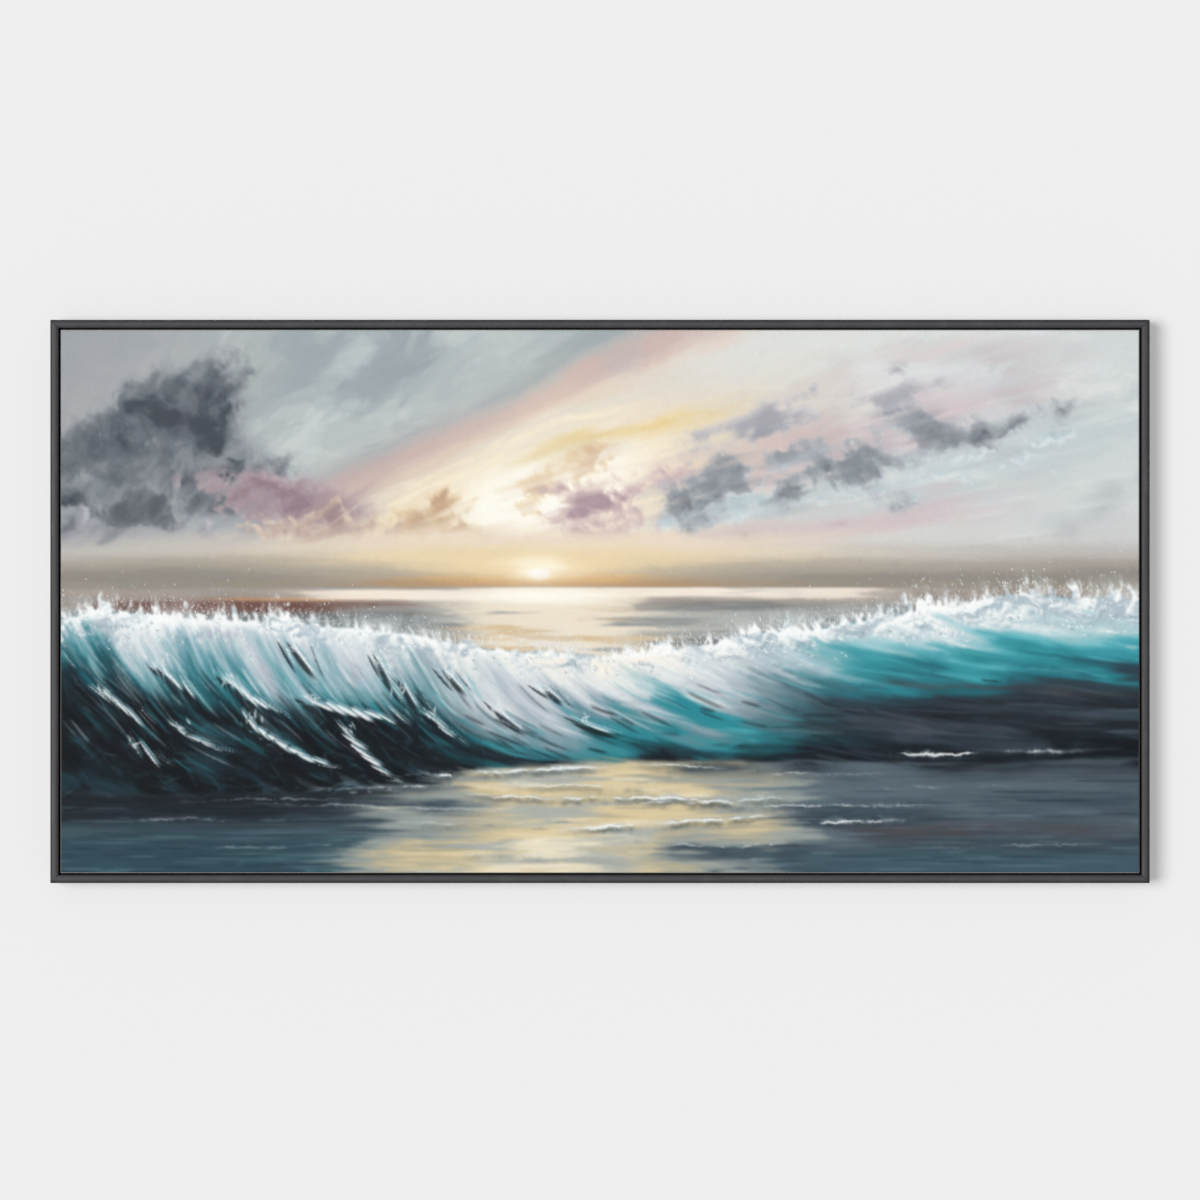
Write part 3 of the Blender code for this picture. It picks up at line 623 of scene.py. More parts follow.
for tones, part in ((left_tones, left), (centre_tones, centre_part), (right_tones, right)):
    for code, start, end, amount in tones:
        lay(code, water * part * ramp(depth, start, end) * amount, 0.35, 0.45)
lay("#A3A5B4", water * left * ramp(depth, 0.36, 0.2) * ramp(folds, -0.02, -0.16) * 0.7, 0.3, 0.5)
slate_silk = water * right * ramp(ribbons, 0.55, 0.8) * ramp(fall, 0.45, 0.6) * ramp(fall, 1.0, 0.9)
lay("#465561", slate_silk * 0.55, 0.4, 0.4)
lay("#1F242B", water * right * ramp(ribbons, 0.42, 0.2) * ramp(fall, 0.5, 0.66) * 0.7, 0.4, 0.4)
umber = oval(0.86, 0.660, 0.30, 0.014, 3, 3) + oval(0.78, 0.730, 0.26, 0.012, 4, 3)
lay("#4F4B50", water * right * umber * ramp(bands, 0.3, 0.7) * 0.5, 0.4, 0.4)
low_teal = oval(0.600, 0.712, 0.19, 0.036, 24, 2.4) + 0.3 * (ribbons - 0.5) + 0.5 * folds
lay("#2A8894", water * ramp(low_teal, 0.35, 0.8) * (0.35 + 0.6 * ramp(ribbons, 0.25, 0.6)), 0.4, 0.5)
lay("#5AB9C2", water * ramp(low_teal, 0.7, 1.05) * ramp(bands, 0.4, 0.7) * 0.75, 0.4, 0.5)
lay("#5B6B78", water * ramp(oval(0.66, 0.625, 0.22, 0.022, 14, 3) + 0.7 * folds, 0.45, 0.8) * 0.4, 0.4, 0.4)
hollow = fall + profile(across, (0, 0.10), (0.2, 0.05), (0.4, 0))
trough = ramp(hollow, 0.48, 0.64) * ramp(across, 0.44, 0.26) * water
stirred = smoke(along * 10, down * 13, 77, 2.6, 6, 0.6) - 0.5
stirred_light = facing(stirred, -4, 5)
lay("#0D1217", trough * 0.95, 0.4, 0.4)
lay("#1F3A44", trough * ramp(stirred, 0.04, 0.2) * 0.8, 0.3, 0.4)
lay("#2F6671", trough * ramp(stirred_light, 0.10, 0.24) * ramp(fall, 0.85, 0.6) * 0.65, 0.4, 0.6)
lay("#56666F", trough * ramp(stirred_light, 0.16, 0.3) * 0.55, 0.4, 0.7)
print("wave covers", round(float((water > 0.5).mean()) * 100, 1), "% of the picture")

# %% [markdown]
# Foam is not one white. Thick white lies on blue-grey, warmer where the sun stands behind it,
# and its lower edge is drawn out into the silk. Along the top it leaps up in tongues: noise
# along the crest, raised to a power, makes a few tall and many short ones, and the place it
# is read at shifts with height, so that the tongues lean and curl.

# %% Foam along the crest
above = crest - down
flecked = billow(along * 70, down * 62, 84, 4, 0.75) - 0.5
curl = 0.016 * (smoke(along * 14, down * 16, 85, 1.5, 4) - 0.5)
tongue_place = along + 0.25 * above + curl
gust_places = (0, 0.06, 0.16, 0.30, 0.45, 0.60, 0.72, 0.80, 1)
gusts = profile(across, *zip(gust_places, (0.9, 1.1, 1.1, 0.7, 0.45, 0.8, 1.1, 1.4, 1.3)))
gusts = gusts * (0.35 + 1.5 * grain(along * 12, 0.0, 90) ** 1.5)
wide_tongues = 0.014 * grain(tongue_place * 22, 0.0, 86) ** 2
thin_tongues = 0.011 * grain(tongue_place * 75, 0.0, 87) ** 3
tongues = gusts * (wide_tongues + thin_tongues)
dabbed = billow(tongue_place * 130, down * 48, 88, 3, 0.75) - 0.5
leaping = tongues - above + 0.066 * gusts * dabbed * ramp(above, -0.012, 0.012)
foam_top = ramp(leaping, -0.004, 0.005)
foam_places = (0, 0.2, 0.35, 0.50, 0.65, 0.8, 1.0)
foam_reach = profile(across, *zip(foam_places, (0.16, 0.17, 0.20, 0.30, 0.27, 0.19, 0.14)))
froth = smoke(along * 20, down * 26, 81, 2.0, 6, 0.68)
froth_light = facing(froth, -3, 4)
streamers = 0.5 * ribbons + 0.3 * bands + 0.2 * furrows
drawn_out = fall + 0.30 * (froth - 0.5) + 0.42 * (streamers - 0.5)
foam = foam_top * ramp(drawn_out, foam_reach * 1.5, foam_reach * 0.45)
foam_mix = 0.6 * froth + 0.25 * streamers + 0.15 * (flecked + 0.5)
lay("#B4C3CB", foam, 0.2, 0.7, froth)
lay("#D5DFE2", foam * ramp(foam_mix + 0.4 * froth_light, 0.34, 0.54), 0.2, 0.9, froth)
lay("#F3F6F5", foam * ramp(foam_mix + 0.5 * froth_light, 0.42, 0.62), 0.2, 1.1, froth)
foam_shade = foam * ramp(foam_mix + 0.7 * froth_light, 0.34, 0.22) * ramp(fall, 0.02, 0.12)
lay("#91A4AF", foam_shade * 0.7, 0.2, 0.5, froth)
lay("#B0D5DA", foam * right * ramp(foam_mix, 0.52, 0.38) * ramp(fall, 0.06, 0.2) * 0.65, 0.2, 0.7, froth)
lay("#FAF1E4", foam * oval(0.49, 0.62, 0.24, 0.06) * ramp(froth, 0.35, 0.6) * 0.8, 0.2, 1.0, froth)
lay("#FCFDFC", foam_top * ramp(fall, 0.07, 0.0) * ramp(foam_mix, 0.38, 0.54) * 0.85, 0.2, 1.3, froth)
mist = smoke(tongue_place * 16, down * 9, 89, 1.5, 4) + 0.5 * dabbed
mist = ramp(above, 0.060, 0.0) * ramp(mist, 0.40, 0.75)
lay("#DFE3E3", mist * (1 - foam_top) * 0.5 * ramp(fall, 0.1, 0), 0.1, 0.2)
lay("#E9EDEE", ramp(leaping, -0.016, -0.002) * (1 - foam_top) * ramp(dabbed, -0.05, 0.12) * 0.6, 0.1, 0.6)
print("foam covers", round(float((foam > 0.5).mean()) * 100, 1), "% of the picture")

# %% [markdown]
# ## The shallows
#
# The near water is flat and slate blue, darkest under the wave. The sun lays a broken gold
# path down its middle, so its colours are set by the distance from that path and by level
# streaks.

# %% Near water and the gold path
near = ramp(down - foot, -0.006, 0.010)
streaky = billow(along * 3.2, down * 26, 91, 5, 0.6)
broad = smoke(along * 2.2, down * 9, 93, 1.2, 5)
patchy = smoke(along * 5, down * 22, 94, 1.0, 5, 0.6)
lay("#4A5963", near, 0.3)
lay("#3A4A55", near * ramp(streaky, 0.46, 0.60) * 0.8, 0.4)
lay("#5C6D77", near * ramp(streaky, 0.45, 0.34) * 0.7, 0.4)
ink = near * profile(down, (0.84, 0.9), (0.87, 1), (0.90, 0.9), (0.925, 0)) * ramp(across, 0.40, 0.16)
lay("#1C252D", ink * ramp(broad, 0.72, 0.40), 0.4)
lay("#2D4955", near * ramp(down, 0.89, 0.96) * ramp(across, 0.48, 0.22) * 0.9, 0.4)
teal = near * ramp(down, 0.935, 1.0) * ramp(across, 0.42, 0.15) * ramp(patchy, 0.48, 0.34)
lay("#54767F", teal * 0.75, 0.4)
glassy = near * profile(down, (0.885, 0), (0.90, 0.6), (0.915, 0)) * ramp(across, 0.40, 0.1)
lay("#6D8791", glassy * ramp(patchy, 0.5, 0.34), 0.4)
lay("#5A6973", near * ramp(across, 0.56, 0.68) * ramp(down, 0.90, 0.83) * ramp(broad, 0.3, 0.6) * 0.8, 0.4)
lay("#4B4449", near * oval(0.84, 0.925, 0.34, 0.020) * ramp(patchy, 0.3, 0.55) * 0.75, 0.4)
lay("#3F5A66", near * ramp(across, 0.55, 0.8) * ramp(down, 0.935, 0.985) * 0.85, 0.4)
lay("#3A434C", near * ramp(across, 0.70, 0.95) * ramp(down, 0.86, 0.80) * 0.7, 0.4)
path_middle = profile(down, (0.79, 0.475), (0.9, 0.472), (1.0, 0.478))
path_half = profile(down, (0.79, 0.165), (0.86, 0.175), (1.0, 0.180))
path = np.abs(across - path_middle) / path_half + 1.1 * (patchy - 0.5) + 0.9 * (streaky - 0.5)
glitter = billow(along * 4, down * 64, 97, 4, 0.6)
path = path + 1.2 * (glitter - 0.5) + profile(across, (0.22, 0.6), (0.32, 0), (0.66, 0), (0.74, 0.9))
lay("#9DA5A1", near * ramp(path, 1.5, 0.8) * 0.9, 0.4)
lay("#B8A986", near * ramp(path, 1.1, 0.5) * ramp(0.5 * broad + 0.5 * glitter, 0.30, 0.48) * 0.85, 0.4)
lay("#DFCDA4", near * ramp(path, 1.0, 0.4) * ramp(0.3 * broad + 0.7 * glitter, 0.34, 0.50) * 0.9, 0.4)
lay("#A3ACAB", near * ramp(path, 0.9, 0.3) * ramp(streaky, 0.50, 0.62) * 0.75, 0.4)
sparks = ramp(billow(along * 6, down * 60, 95, 4), 0.46, 0.60)
lay("#EFE4C9", near * ramp(path, 0.6, 0.0) * sparks * 0.85, 0.4, 0.5)
edge_dark = near * ramp(down - foot, 0.05, -0.01) * ramp(np.abs(across - 0.47), 0.03, 0.16)
lay("#171D24", edge_dark * ramp(broad + 0.4 * turbulence, 0.8, 0.35), 0.4)
scraps = profile(down - foot, (-0.05, 0), (-0.01, 1), (0.016, 1), (0.03, 0))
scraps = scraps * profile(across, (0.16, 0), (0.26, 1), (0.42, 1), (0.5, 0))
lay("#5D6F79", scraps * ramp(stirred_light, 0.08, 0.2) * 0.8, 0.4, 0.7)
scrap_light = facing(smoke(along * 18, down * 40, 96, 1.5), -2, 4)
lay("#C3CDD1", scraps * ramp(scrap_light, 0.18, 0.30) * 0.8, 0.4, 0.9)
print("near water from", round(float(foot.min()), 3))

# %% [markdown]
# ## Brushwork
#
# Every stroke starts from a place and follows the brush's direction for its length. It takes
# one colour from the paint already there, a little lighter or darker, as a brush loaded once
# does, and its bristles leave furrows. Many strokes are worked out together, in batches.


# %% A stroke of the brush
def cells_at(field, x, y):
    if field.ndim == 2:
        field = np.broadcast_to(field, (TALL, WIDE))
    return field[np.clip(y, 0, TALL - 1).astype(np.int32), np.clip(x, 0, WIDE - 1).astype(np.int32)]


def stroke(x, y, length, width, colour, cover=0.8, body=0.5, dry=0.35, turn=0.0, seed=1,
           belly=0.5, start=0.5):
    """Paints strokes in order. x, y, length and width are in cells, and turn is off the brush's direction."""
    rng = np.random.default_rng(seed)
    count = len(x)
    length, width, cover, body, turn = (
        np.broadcast_to(np.asarray(v, np.float32), (count,)) for v in (length, width, cover, body, turn)
    )
    steps, lanes = max(int(length.max() / 0.8), 3), max(int(width.max() / 0.75), 2)
    share = np.linspace(0, 1, steps, dtype=np.float32)
    side = np.linspace(-1, 1, lanes, dtype=np.float32)
    swelling = np.sin(np.pi * np.clip(share, 0.02, 0.98)) ** belly
    fading = ramp(share, 0, 0.15) * ramp(share, 1.0, 0.65)
    batch = max(60000 // (steps * lanes), 8)
    for first in range(0, count, batch):
        part = slice(first, min(first + batch, count))
        n = part.stop - part.start
        stride, c, s = length[part] / (steps - 1), np.cos(turn[part]), np.sin(turn[part])
        px, py = x[part].astype(np.float32), y[part].astype(np.float32)
        trail = []
        for k in range(-int(steps * start), steps):
            dx, dy = cells_at(go_right, px, py), cells_at(go_down, px, py)
            dx, dy = dx * c - dy * s, dx * s + dy * c
            if k < 0:
                px, py = px - dx * stride, py - dy * stride
                continue
            trail.append((px, py, dx, dy))
            px, py = px + dx * stride, py + dy * stride
        px, py, dx, dy = (np.stack(column, 1)[..., None] for column in zip(*trail))
        half = (width[part][:, None] / 2 * swelling)[..., None] * side
        cx, cy = px - dy * half, py + dx * half
        bristle = rng.random((n, 1, lanes)).astype(np.float32)
        paint_ends = 0.35 + 0.9 * rng.random((n, 1, lanes))
        runs_out = ramp(share[None, :, None], paint_ends, 1.3) * (0.7 if dry else 0)
        strength = cover[part][:, None, None] * (1 - np.abs(side) ** 2.5) * fading[None, :, None]
        strength = strength * (1 - dry * bristle) * (1 - runs_out)
        inside = (cx >= 0) & (cx < WIDE) & (cy >= 0) & (cy < TALL)
        ix, iy, strength = cx[inside].astype(np.int32), cy[inside].astype(np.int32), strength[inside]
        shade = colour[part][:, None, None, :] + 0.03 * (bristle[..., None] - 0.5)
        shade = np.broadcast_to(shade, (*cx.shape, 3))[inside]
        paint[iy, ix] += (shade - paint[iy, ix]) * strength[:, None]
        lift = np.broadcast_to(body[part][:, None, None] * (0.45 + 0.55 * bristle), cx.shape)[inside]
        relief[iy, ix] += (lift - relief[iy, ix]) * strength


def scattered(count, chance, seed):
    """Random cells, likelier where the chance is high."""
    rng = np.random.default_rng(seed)
    x, y = rng.random(count * 12) * WIDE, rng.random(count * 12) * TALL
    kept = rng.random(count * 12) < cells_at(chance, x, y)
    return x[kept][:count], y[kept][:count], np.random.default_rng(seed + 1)


def varied(rng, colour, light, hue=0.006):
    """Makes each colour a little lighter or darker, and a very little warmer or cooler."""
    colour = colour + rng.normal(0, light, (len(colour), 1))
    return np.clip(colour + rng.normal(0, hue, (len(colour), 3)), 0, 1).astype(np.float32)


def mixed(rng, code, count, light):
    """One paint mixed afresh for each stroke."""
    return varied(rng, pigment(code) * np.ones((count, 1), np.float32), light)


def work_over(count, chance, lengths, widths, light, cover, body, seed, turned=0.0):
    """Strokes that take the colour under them, scattered where the chance is high."""
    x, y, rng = scattered(count, chance, seed)
    n = len(x)
    length, width = rng.uniform(*lengths, n), rng.uniform(*widths, n)
    colour = varied(rng, cells_at(paint, x, y), light)
    stroke(x, y, length, width, colour, cover, body, turn=rng.uniform(-turned, turned, n), seed=seed)
    return n


# %% Work over each part of the picture
clear_of_spray = ramp(above, 0.035, 0.065)
in_sky = ramp(down, 0.475, 0.46) * clear_of_spray
in_far = ramp(down, 0.472, 0.480) * clear_of_spray
in_face = ramp(fall, 0.10, 0.20) * ramp(fall, 1.02, 0.96)
made = work_over(1800, in_sky * (1 - 0.85 * storm), (50, 130), (8, 18), 0.006, 0.28, 0.2, 11)
made += work_over(4200, in_sky, (8, 24), (3, 8), 0.016, 0.38, 0.45, 13, 0.9)
made += work_over(1800, in_far, (14, 70), (1.6, 3.5), 0.018, 0.6, 0.35, 14)
made += work_over(1800, in_face, (40, 110), (7, 16), 0.012, 0.40, 0.45, 15, 0.12)
made += work_over(3000, in_face, (20, 70), (2.5, 6), 0.020, 0.45, 0.55, 16, 0.16)
made += work_over(1500, near, (40, 140), (3, 8), 0.012, 0.45, 0.3, 17)
made += work_over(2500, near, (14, 60), (1.6, 4), 0.018, 0.5, 0.4, 18, 0.05)
print(made, "strokes")

# %% [markdown]
# Then the strokes that carry a colour of their own: long thin lights on the silk, turquoise
# pulled over the dark, and ink-dark hollows between them.


# %% Strokes with a colour of their own
def load_brush(code, count, chance, lengths, widths, cover, body, seed, light=0.04, dry=0.5,
               turned=0.0, belly=0.5, heading=0.0):
    """Strokes of one paint. Lengths, widths and cover are the least and the most of each."""
    x, y, rng = scattered(count, chance, seed)
    n = len(x)
    colour = mixed(rng, code, n, light)
    stroke(x, y, rng.uniform(*lengths, n), rng.uniform(*widths, n), colour, rng.uniform(*cover, n), body, dry,
           heading + rng.uniform(-turned, turned, n), seed, belly)


lit = ramp(fall, 0.08, 0.2) * ramp(fall, 0.80, 0.4) * ramp(across, 0.72, 0.52)
load_brush("#E4EBED", 260, lit, (30, 100), (2, 5), (0.15, 0.6), 0.9, 21, turned=0.12)
load_brush("#F3F6F6", 120, lit * ramp(fall, 0.6, 0.3), (20, 70), (1.4, 3), (0.4, 0.9), 1.1, 31, turned=0.2)
teal_silk = in_face * ramp(fall, 0.3, 0.45) * ramp(fall, 0.95, 0.7) * ramp(across, 0.78, 0.6)
load_brush("#2E9BA6", 90, teal_silk, (30, 90), (3, 7), (0.2, 0.6), 0.7, 22, turned=0.1)
aqua_silk = in_face * right * ramp(fall, 0.2, 0.3) * ramp(fall, 0.52, 0.4)
load_brush("#67C2CA", 60, aqua_silk, (40, 120), (3, 6), (0.2, 0.6), 0.7, 23, turned=0.05)
hollows = in_face * ramp(fall, 0.35, 0.6) * ramp(across, 0.9, 0.5)
load_brush("#0E1318", 150, hollows, (24, 80), (3, 7), (0.25, 0.7), 0.45, 24, 0.015, turned=0.2)
low_silk = in_face * right * ramp(fall, 0.5, 0.65)
load_brush("#51626E", 90, low_silk, (50, 160), (3, 8), (0.15, 0.45), 0.5, 25, turned=0.08)
load_brush("#3C5762", 150, trough, (14, 50), (2, 5), (0.2, 0.6), 0.6, 26, 0.03, 0.5, 0.9)
load_brush("#1F2C36", 130, near * ramp(path, 0.9, 1.5), (50, 170), (1.6, 5), (0.2, 0.6), 0.3, 32, 0.015)
off_path = near * ramp(path, 0.8, 1.4) * ramp(down, 0.86, 0.9)
load_brush("#7C97A1", 90, off_path, (40, 140), (1.4, 4), (0.15, 0.5), 0.4, 33, 0.03)
load_brush("#F3E8CB", 110, near * ramp(path, 0.9, 0.2), (14, 60), (1.4, 3.4), (0.25, 0.8), 0.6, 34, 0.03)
load_brush("#5E6D75", 45, near * ramp(path, 1.2, 0.5), (20, 90), (1.6, 4), (0.2, 0.55), 0.35, 35, 0.02)
cream_ray = in_sky * profile(rays, (21, 0), (22, 1), (25, 1), (26, 0))
cream_ray = cream_ray * profile(across, (0.24, 0), (0.3, 1), (0.54, 1), (0.6, 0))
load_brush("#FBF0DC", 26, cream_ray, (50, 130), (2, 5), (0.3, 0.8), 0.7, 27, 0.02)
pale_sky = in_sky * right_sky * ramp(across, 0.6, 0.75) * ramp(down, 0.4, 0.3)
load_brush("#EBEDEC", 34, pale_sky, (60, 160), (5, 11), (0.1, 0.35), 0.5, 28, 0.02)
grey_ray = in_sky * profile(rays, (28.5, 0), (30, 1), (33, 0)) * ramp(across, 0.18, 0.3)
load_brush("#8C98A0", 40, grey_ray, (30, 90), (3, 6), (0.15, 0.45), 0.4, 29, 0.02)


def soften(field):
    """Blends each cell a little with its neighbours, as wet paint settles."""
    padded = np.pad(field, ((1, 1), (1, 1)) + ((0, 0),) * (field.ndim - 2), mode="edge")
    level_blend = padded[:, :-2] * 0.25 + padded[:, 1:-1] * 0.5 + padded[:, 2:] * 0.25
    field[:] = level_blend[:-2] * 0.25 + level_blend[1:-1] * 0.5 + level_blend[2:] * 0.25


soften(paint)
soften(relief)
print("relief up to", round(float(relief.max()), 2))

# %% [markdown]
# ## Knife ridges, spray and foam lines
#
# A palette knife leaves a thick ridge with one bright white edge, and beside it lies a near-black
# stroke that is painted shadow, standing for the shade in the hollow below the ridge. Each ridge
# here is a chain of short pulls, so that it bends and breaks. Spray is flicked on as short dabs
# and drops above the tongues of foam. On the shallows, foam lies in thin, wavering lines with a
# soft shadow under each.

# %% Knife ridges in the left of the wave
rng = np.random.default_rng(61)
# Each ridge: place across, share of the fall, length in cells, thickness
ridge_list = (
    (0.030, 0.40, 90, 1.1), (0.085, 0.26, 80, 1.0), (0.100, 0.58, 90, 1.0), (0.150, 0.32, 100, 1.2),
    (0.165, 0.54, 150, 1.7), (0.200, 0.18, 60, 0.8), (0.222, 0.44, 140, 1.6), (0.262, 0.58, 110, 1.2),
    (0.300, 0.34, 60, 0.8), (0.335, 0.50, 70, 0.9), (0.345, 0.26, 50, 0.7), (0.40, 0.46, 60, 0.8),
    (0.44, 0.32, 44, 0.7), (0.475, 0.56, 60, 0.8), (0.285, 0.16, 50, 0.7), (0.06, 0.70, 60, 0.8),
)
for k, (u, share, size, thickness) in enumerate(ridge_list):
    pulls = max(int(size / 16), 3)
    t = np.linspace(0, 1, pulls)
    course = math.radians(float(np.interp(u, (0, 0.3, 0.5), (52, 44, 36))))
    heading = course * (1 - 0.45 * t) + rng.normal(0, 0.16)
    step = size / pulls
    begin = (crest_at(u) + share * (foot_at(u) - crest_at(u))) * TALL
    x = u * WIDE + np.cumsum(np.cos(heading)) * step + rng.normal(0, 1.4, pulls)
    y = begin + np.cumsum(np.sin(heading)) * step * 0.85 + rng.normal(0, 1.4, pulls)
    turn = rng.normal(0, 0.07, pulls) + rng.normal(0, 0.16) + rng.normal(0, 0.25) * (t - 0.5)
    bulge = np.sin(np.pi * (0.15 + 0.8 * t)) * thickness
    reach = step * rng.uniform(2.0, 3.0, pulls)
    # The painted shadow in the hollow below it, a blue shoulder above it, and the white edge: how far
    # right and down, how long and wide, the paint, and how it covers, stands up, breaks and swells
    for layer, (right_by, down_by, longer, wide, code, light, cover, body, dry, belly) in enumerate((
        (-4, 5.5 * thickness, 1.3, 13, "#12181E", 0.012, 0.85, 0.15, 0.15, 0.9),
        (2, -2.6, 1.0, 7, "#8FB6C0", 0.06, 0.8, 1.2, 0.2, 0.9),
        (0, 0, 1.0, 5.0, "#F6F9F8", 0.03, 0.95, 2.0, 0.1, 0.8),
    )):
        colour, seed = mixed(rng, code, pulls, light), 400 + 30 * layer + k
        stroke(x + right_by, y + down_by, reach * longer, wide * bulge, colour, cover, body, dry, turn,
               seed, belly)
    flecks = int(5 * thickness)
    fx, fy = x[0] + rng.normal(0, 6, flecks), y[0] - rng.random(flecks) * 10
    length, width = rng.uniform(8, 22, flecks), rng.uniform(2, 5, flecks)
    white = mixed(rng, "#EDF2F2", flecks, 0.04)
    stroke(fx, fy, length, width, white, 0.8, 1.4, 0.2, rng.normal(0.1, 0.5, flecks), 490 + k, 1.2)
soften(paint)
soften(relief)
print(len(ridge_list), "ridges")

# %% Spray above the crest
UPWARD = -1.45
by_crest = ramp(above, -0.012, 0.0) * gusts
in_foam = foam * ramp(fall, 0.02, 0.06)
load_brush("#C6D0D5", 1100, by_crest * ramp(above, 0.045, 0.004), (5, 18), (1.6, 3.4), (0.3, 0.7), 0.8,
           70, 0.04, 0.3, 0.5, 1.4, UPWARD)
load_brush("#F5F8F8", 1500, by_crest * ramp(above, 0.036, 0.002), (4, 16), (1.4, 3.0), (0.4, 0.95), 1.2,
           71, 0.03, 0.3, 0.5, 1.4, UPWARD)
load_brush("#93A6B1", 500, in_foam * ramp(fall, 0.3, 0.12), (4, 10), (2, 4.5), (0.25, 0.6), 0.6,
           72, 0.04, 0.3, 1.0, 1.4)
load_brush("#F8FAF9", 700, in_foam * ramp(fall, 0.34, 0.1), (4, 11), (2, 4.5), (0.3, 0.8), 1.3,
           73, 0.03, 0.3, 0.7, 1.4)
n = 2100
at = rng.random(n)
flung = np.interp(at, (0, 0.16, 0.45, 0.62, 0.8, 1), (1.2, 1.2, 0.6, 0.9, 1.5, 1.4))
height = rng.exponential(0.014, n) * flung
x, y = at * WIDE, (crest_at(at) - height - 0.006) * TALL
drops = mixed(rng, "#F2F4F3", n, 0.05)
length, width, cover = rng.uniform(1.2, 4.0, n), rng.uniform(1.0, 2.4, n), rng.uniform(0.3, 1, n)
stroke(x, y, length, width, drops, cover, 1.1, 0, rng.uniform(-2, -1, n), 75)
print(n, "drops")

# %% Foam lines on the shallows
# Each line: where it starts and ends, its height at both ends, how strong it is
foam_lines = (
    (0.36, 0.66, 0.852, 0.872, 0.9), (0.45, 0.68, 0.918, 0.893, 1.0), (0.60, 0.82, 0.880, 0.872, 0.6),
    (0.67, 0.80, 0.909, 0.900, 0.9), (0.54, 0.74, 0.952, 0.940, 0.55), (0.80, 0.99, 0.955, 0.946, 0.25),
    (0.16, 0.42, 0.872, 0.882, 0.35), (0.30, 0.53, 0.822, 0.802, 0.9), (0.52, 0.63, 0.800, 0.806, 0.7),
    (0.62, 0.78, 0.812, 0.820, 0.5), (0.74, 0.96, 0.782, 0.776, 0.9), (0.08, 0.28, 0.868, 0.862, 0.3),
    (0.03, 0.22, 0.902, 0.898, 0.3), (0.34, 0.52, 0.962, 0.968, 0.45), (0.72, 0.90, 0.842, 0.836, 0.25),
    (0.10, 0.30, 0.955, 0.950, 0.25), (0.22, 0.40, 0.846, 0.838, 0.6), (0.40, 0.60, 0.838, 0.846, 0.6),
    (0.50, 0.72, 0.872, 0.858, 0.6), (0.28, 0.46, 0.905, 0.912, 0.4),
)
for k, (begin, end, high, low, strength) in enumerate(foam_lines):
    t = np.clip((across - begin) / (end - begin), 0, 1)
    waver = 0.015 * (billow(along * 7, 0.0, k + 200, 5, 0.68) - 0.5)
    waver = waver + 0.008 * np.abs(grain(along * 20, 0.0, k + 220) - 0.5)
    offset = down - (high + (low - high) * t + waver) + 0.007 * flecked
    ends = ramp(across, begin, begin + 0.06) * ramp(across, end, end - 0.06)
    gaps = ramp(billow(along * 10, 0.0, k + 240, 5, 0.75), 0.36, 0.60)
    clumps = billow(along * 26, down * 60, k + 260, 3, 0.6)
    thin = 0.0012 + 0.0052 * strength * np.clip(clumps - 0.3, 0, 1)
    amount = ends * (0.15 + 0.85 * gaps) * strength
    lay("#2B363F", np.exp(-(((offset - 0.0070) / 0.006) ** 2)) * amount * 0.5, 0.1, 0.3)
    grey_line = np.exp(-(((offset + 0.001) / (thin * 2.4)) ** 2)) * amount
    lay("#A9B8BE", grey_line * ramp(froth, 0.30, 0.6) * 0.7, 0.1, 0.7)
    white_line = np.exp(-((offset / thin) ** 2)) * amount
    lay("#F0F3F2", white_line * ramp(clumps + 0.5 * flecked + 0.2 * gaps, 0.36, 0.62), 0.1, 1.3)
np.clip(paint, 0, 1, out=paint)
print("mean colour", np.round(paint.mean(axis=(0, 1)), 3))

# %% [markdown]
# ## The paint becomes a mesh
#
# Dry oil paint is a skin that lies on the cloth, thin in the sky and nearly two millimetres
# thick on the knife ridges. It is built as a fine grid whose points stand out by the height of
# the paint. One mesh would need too many faces, so the skin is cut into level bands, with the
# finest cells where the wave is. Neighbours lap: each runs on for two rows past the line where
# they meet, a hair lower, so that the two surfaces cross there and no crack shows.

# %% Read the painter's grid between its cells
PAINT_RISE = 0.00085
FILM_BACK = cloth_low[1] - 0.00005
FILM_LEAST = 0.0002
LAP_ROWS = 2
LAP_DROP = 0.00004
# The skin's outermost points lie this far inside the cloth's edge
SKIN_INSET = 0.0005
picture_top = cloth_high[2]


def read_grid(field, u, w):
    """Blends the four cells round each place. u and w run over 0 to 1."""
    x, y = np.clip(u * WIDE - 0.5, 0, WIDE - 1.001), np.clip(w * TALL - 0.5, 0, TALL - 1.001)
    i, j = x.astype(np.int32), y.astype(np.int32)
    fx, fy = x - i, y - j
    if field.ndim == 3:
        fx, fy = fx[..., None], fy[..., None]
    upper = field[j, i] * (1 - fx) + field[j, i + 1] * fx
    lower = field[j + 1, i] * (1 - fx) + field[j + 1, i + 1] * fx
    return upper * (1 - fy) + lower * fy


def to_linear(colours):
    return np.where(colours <= 0.04045, colours / 12.92, ((colours + 0.055) / 1.055) ** 2.4)


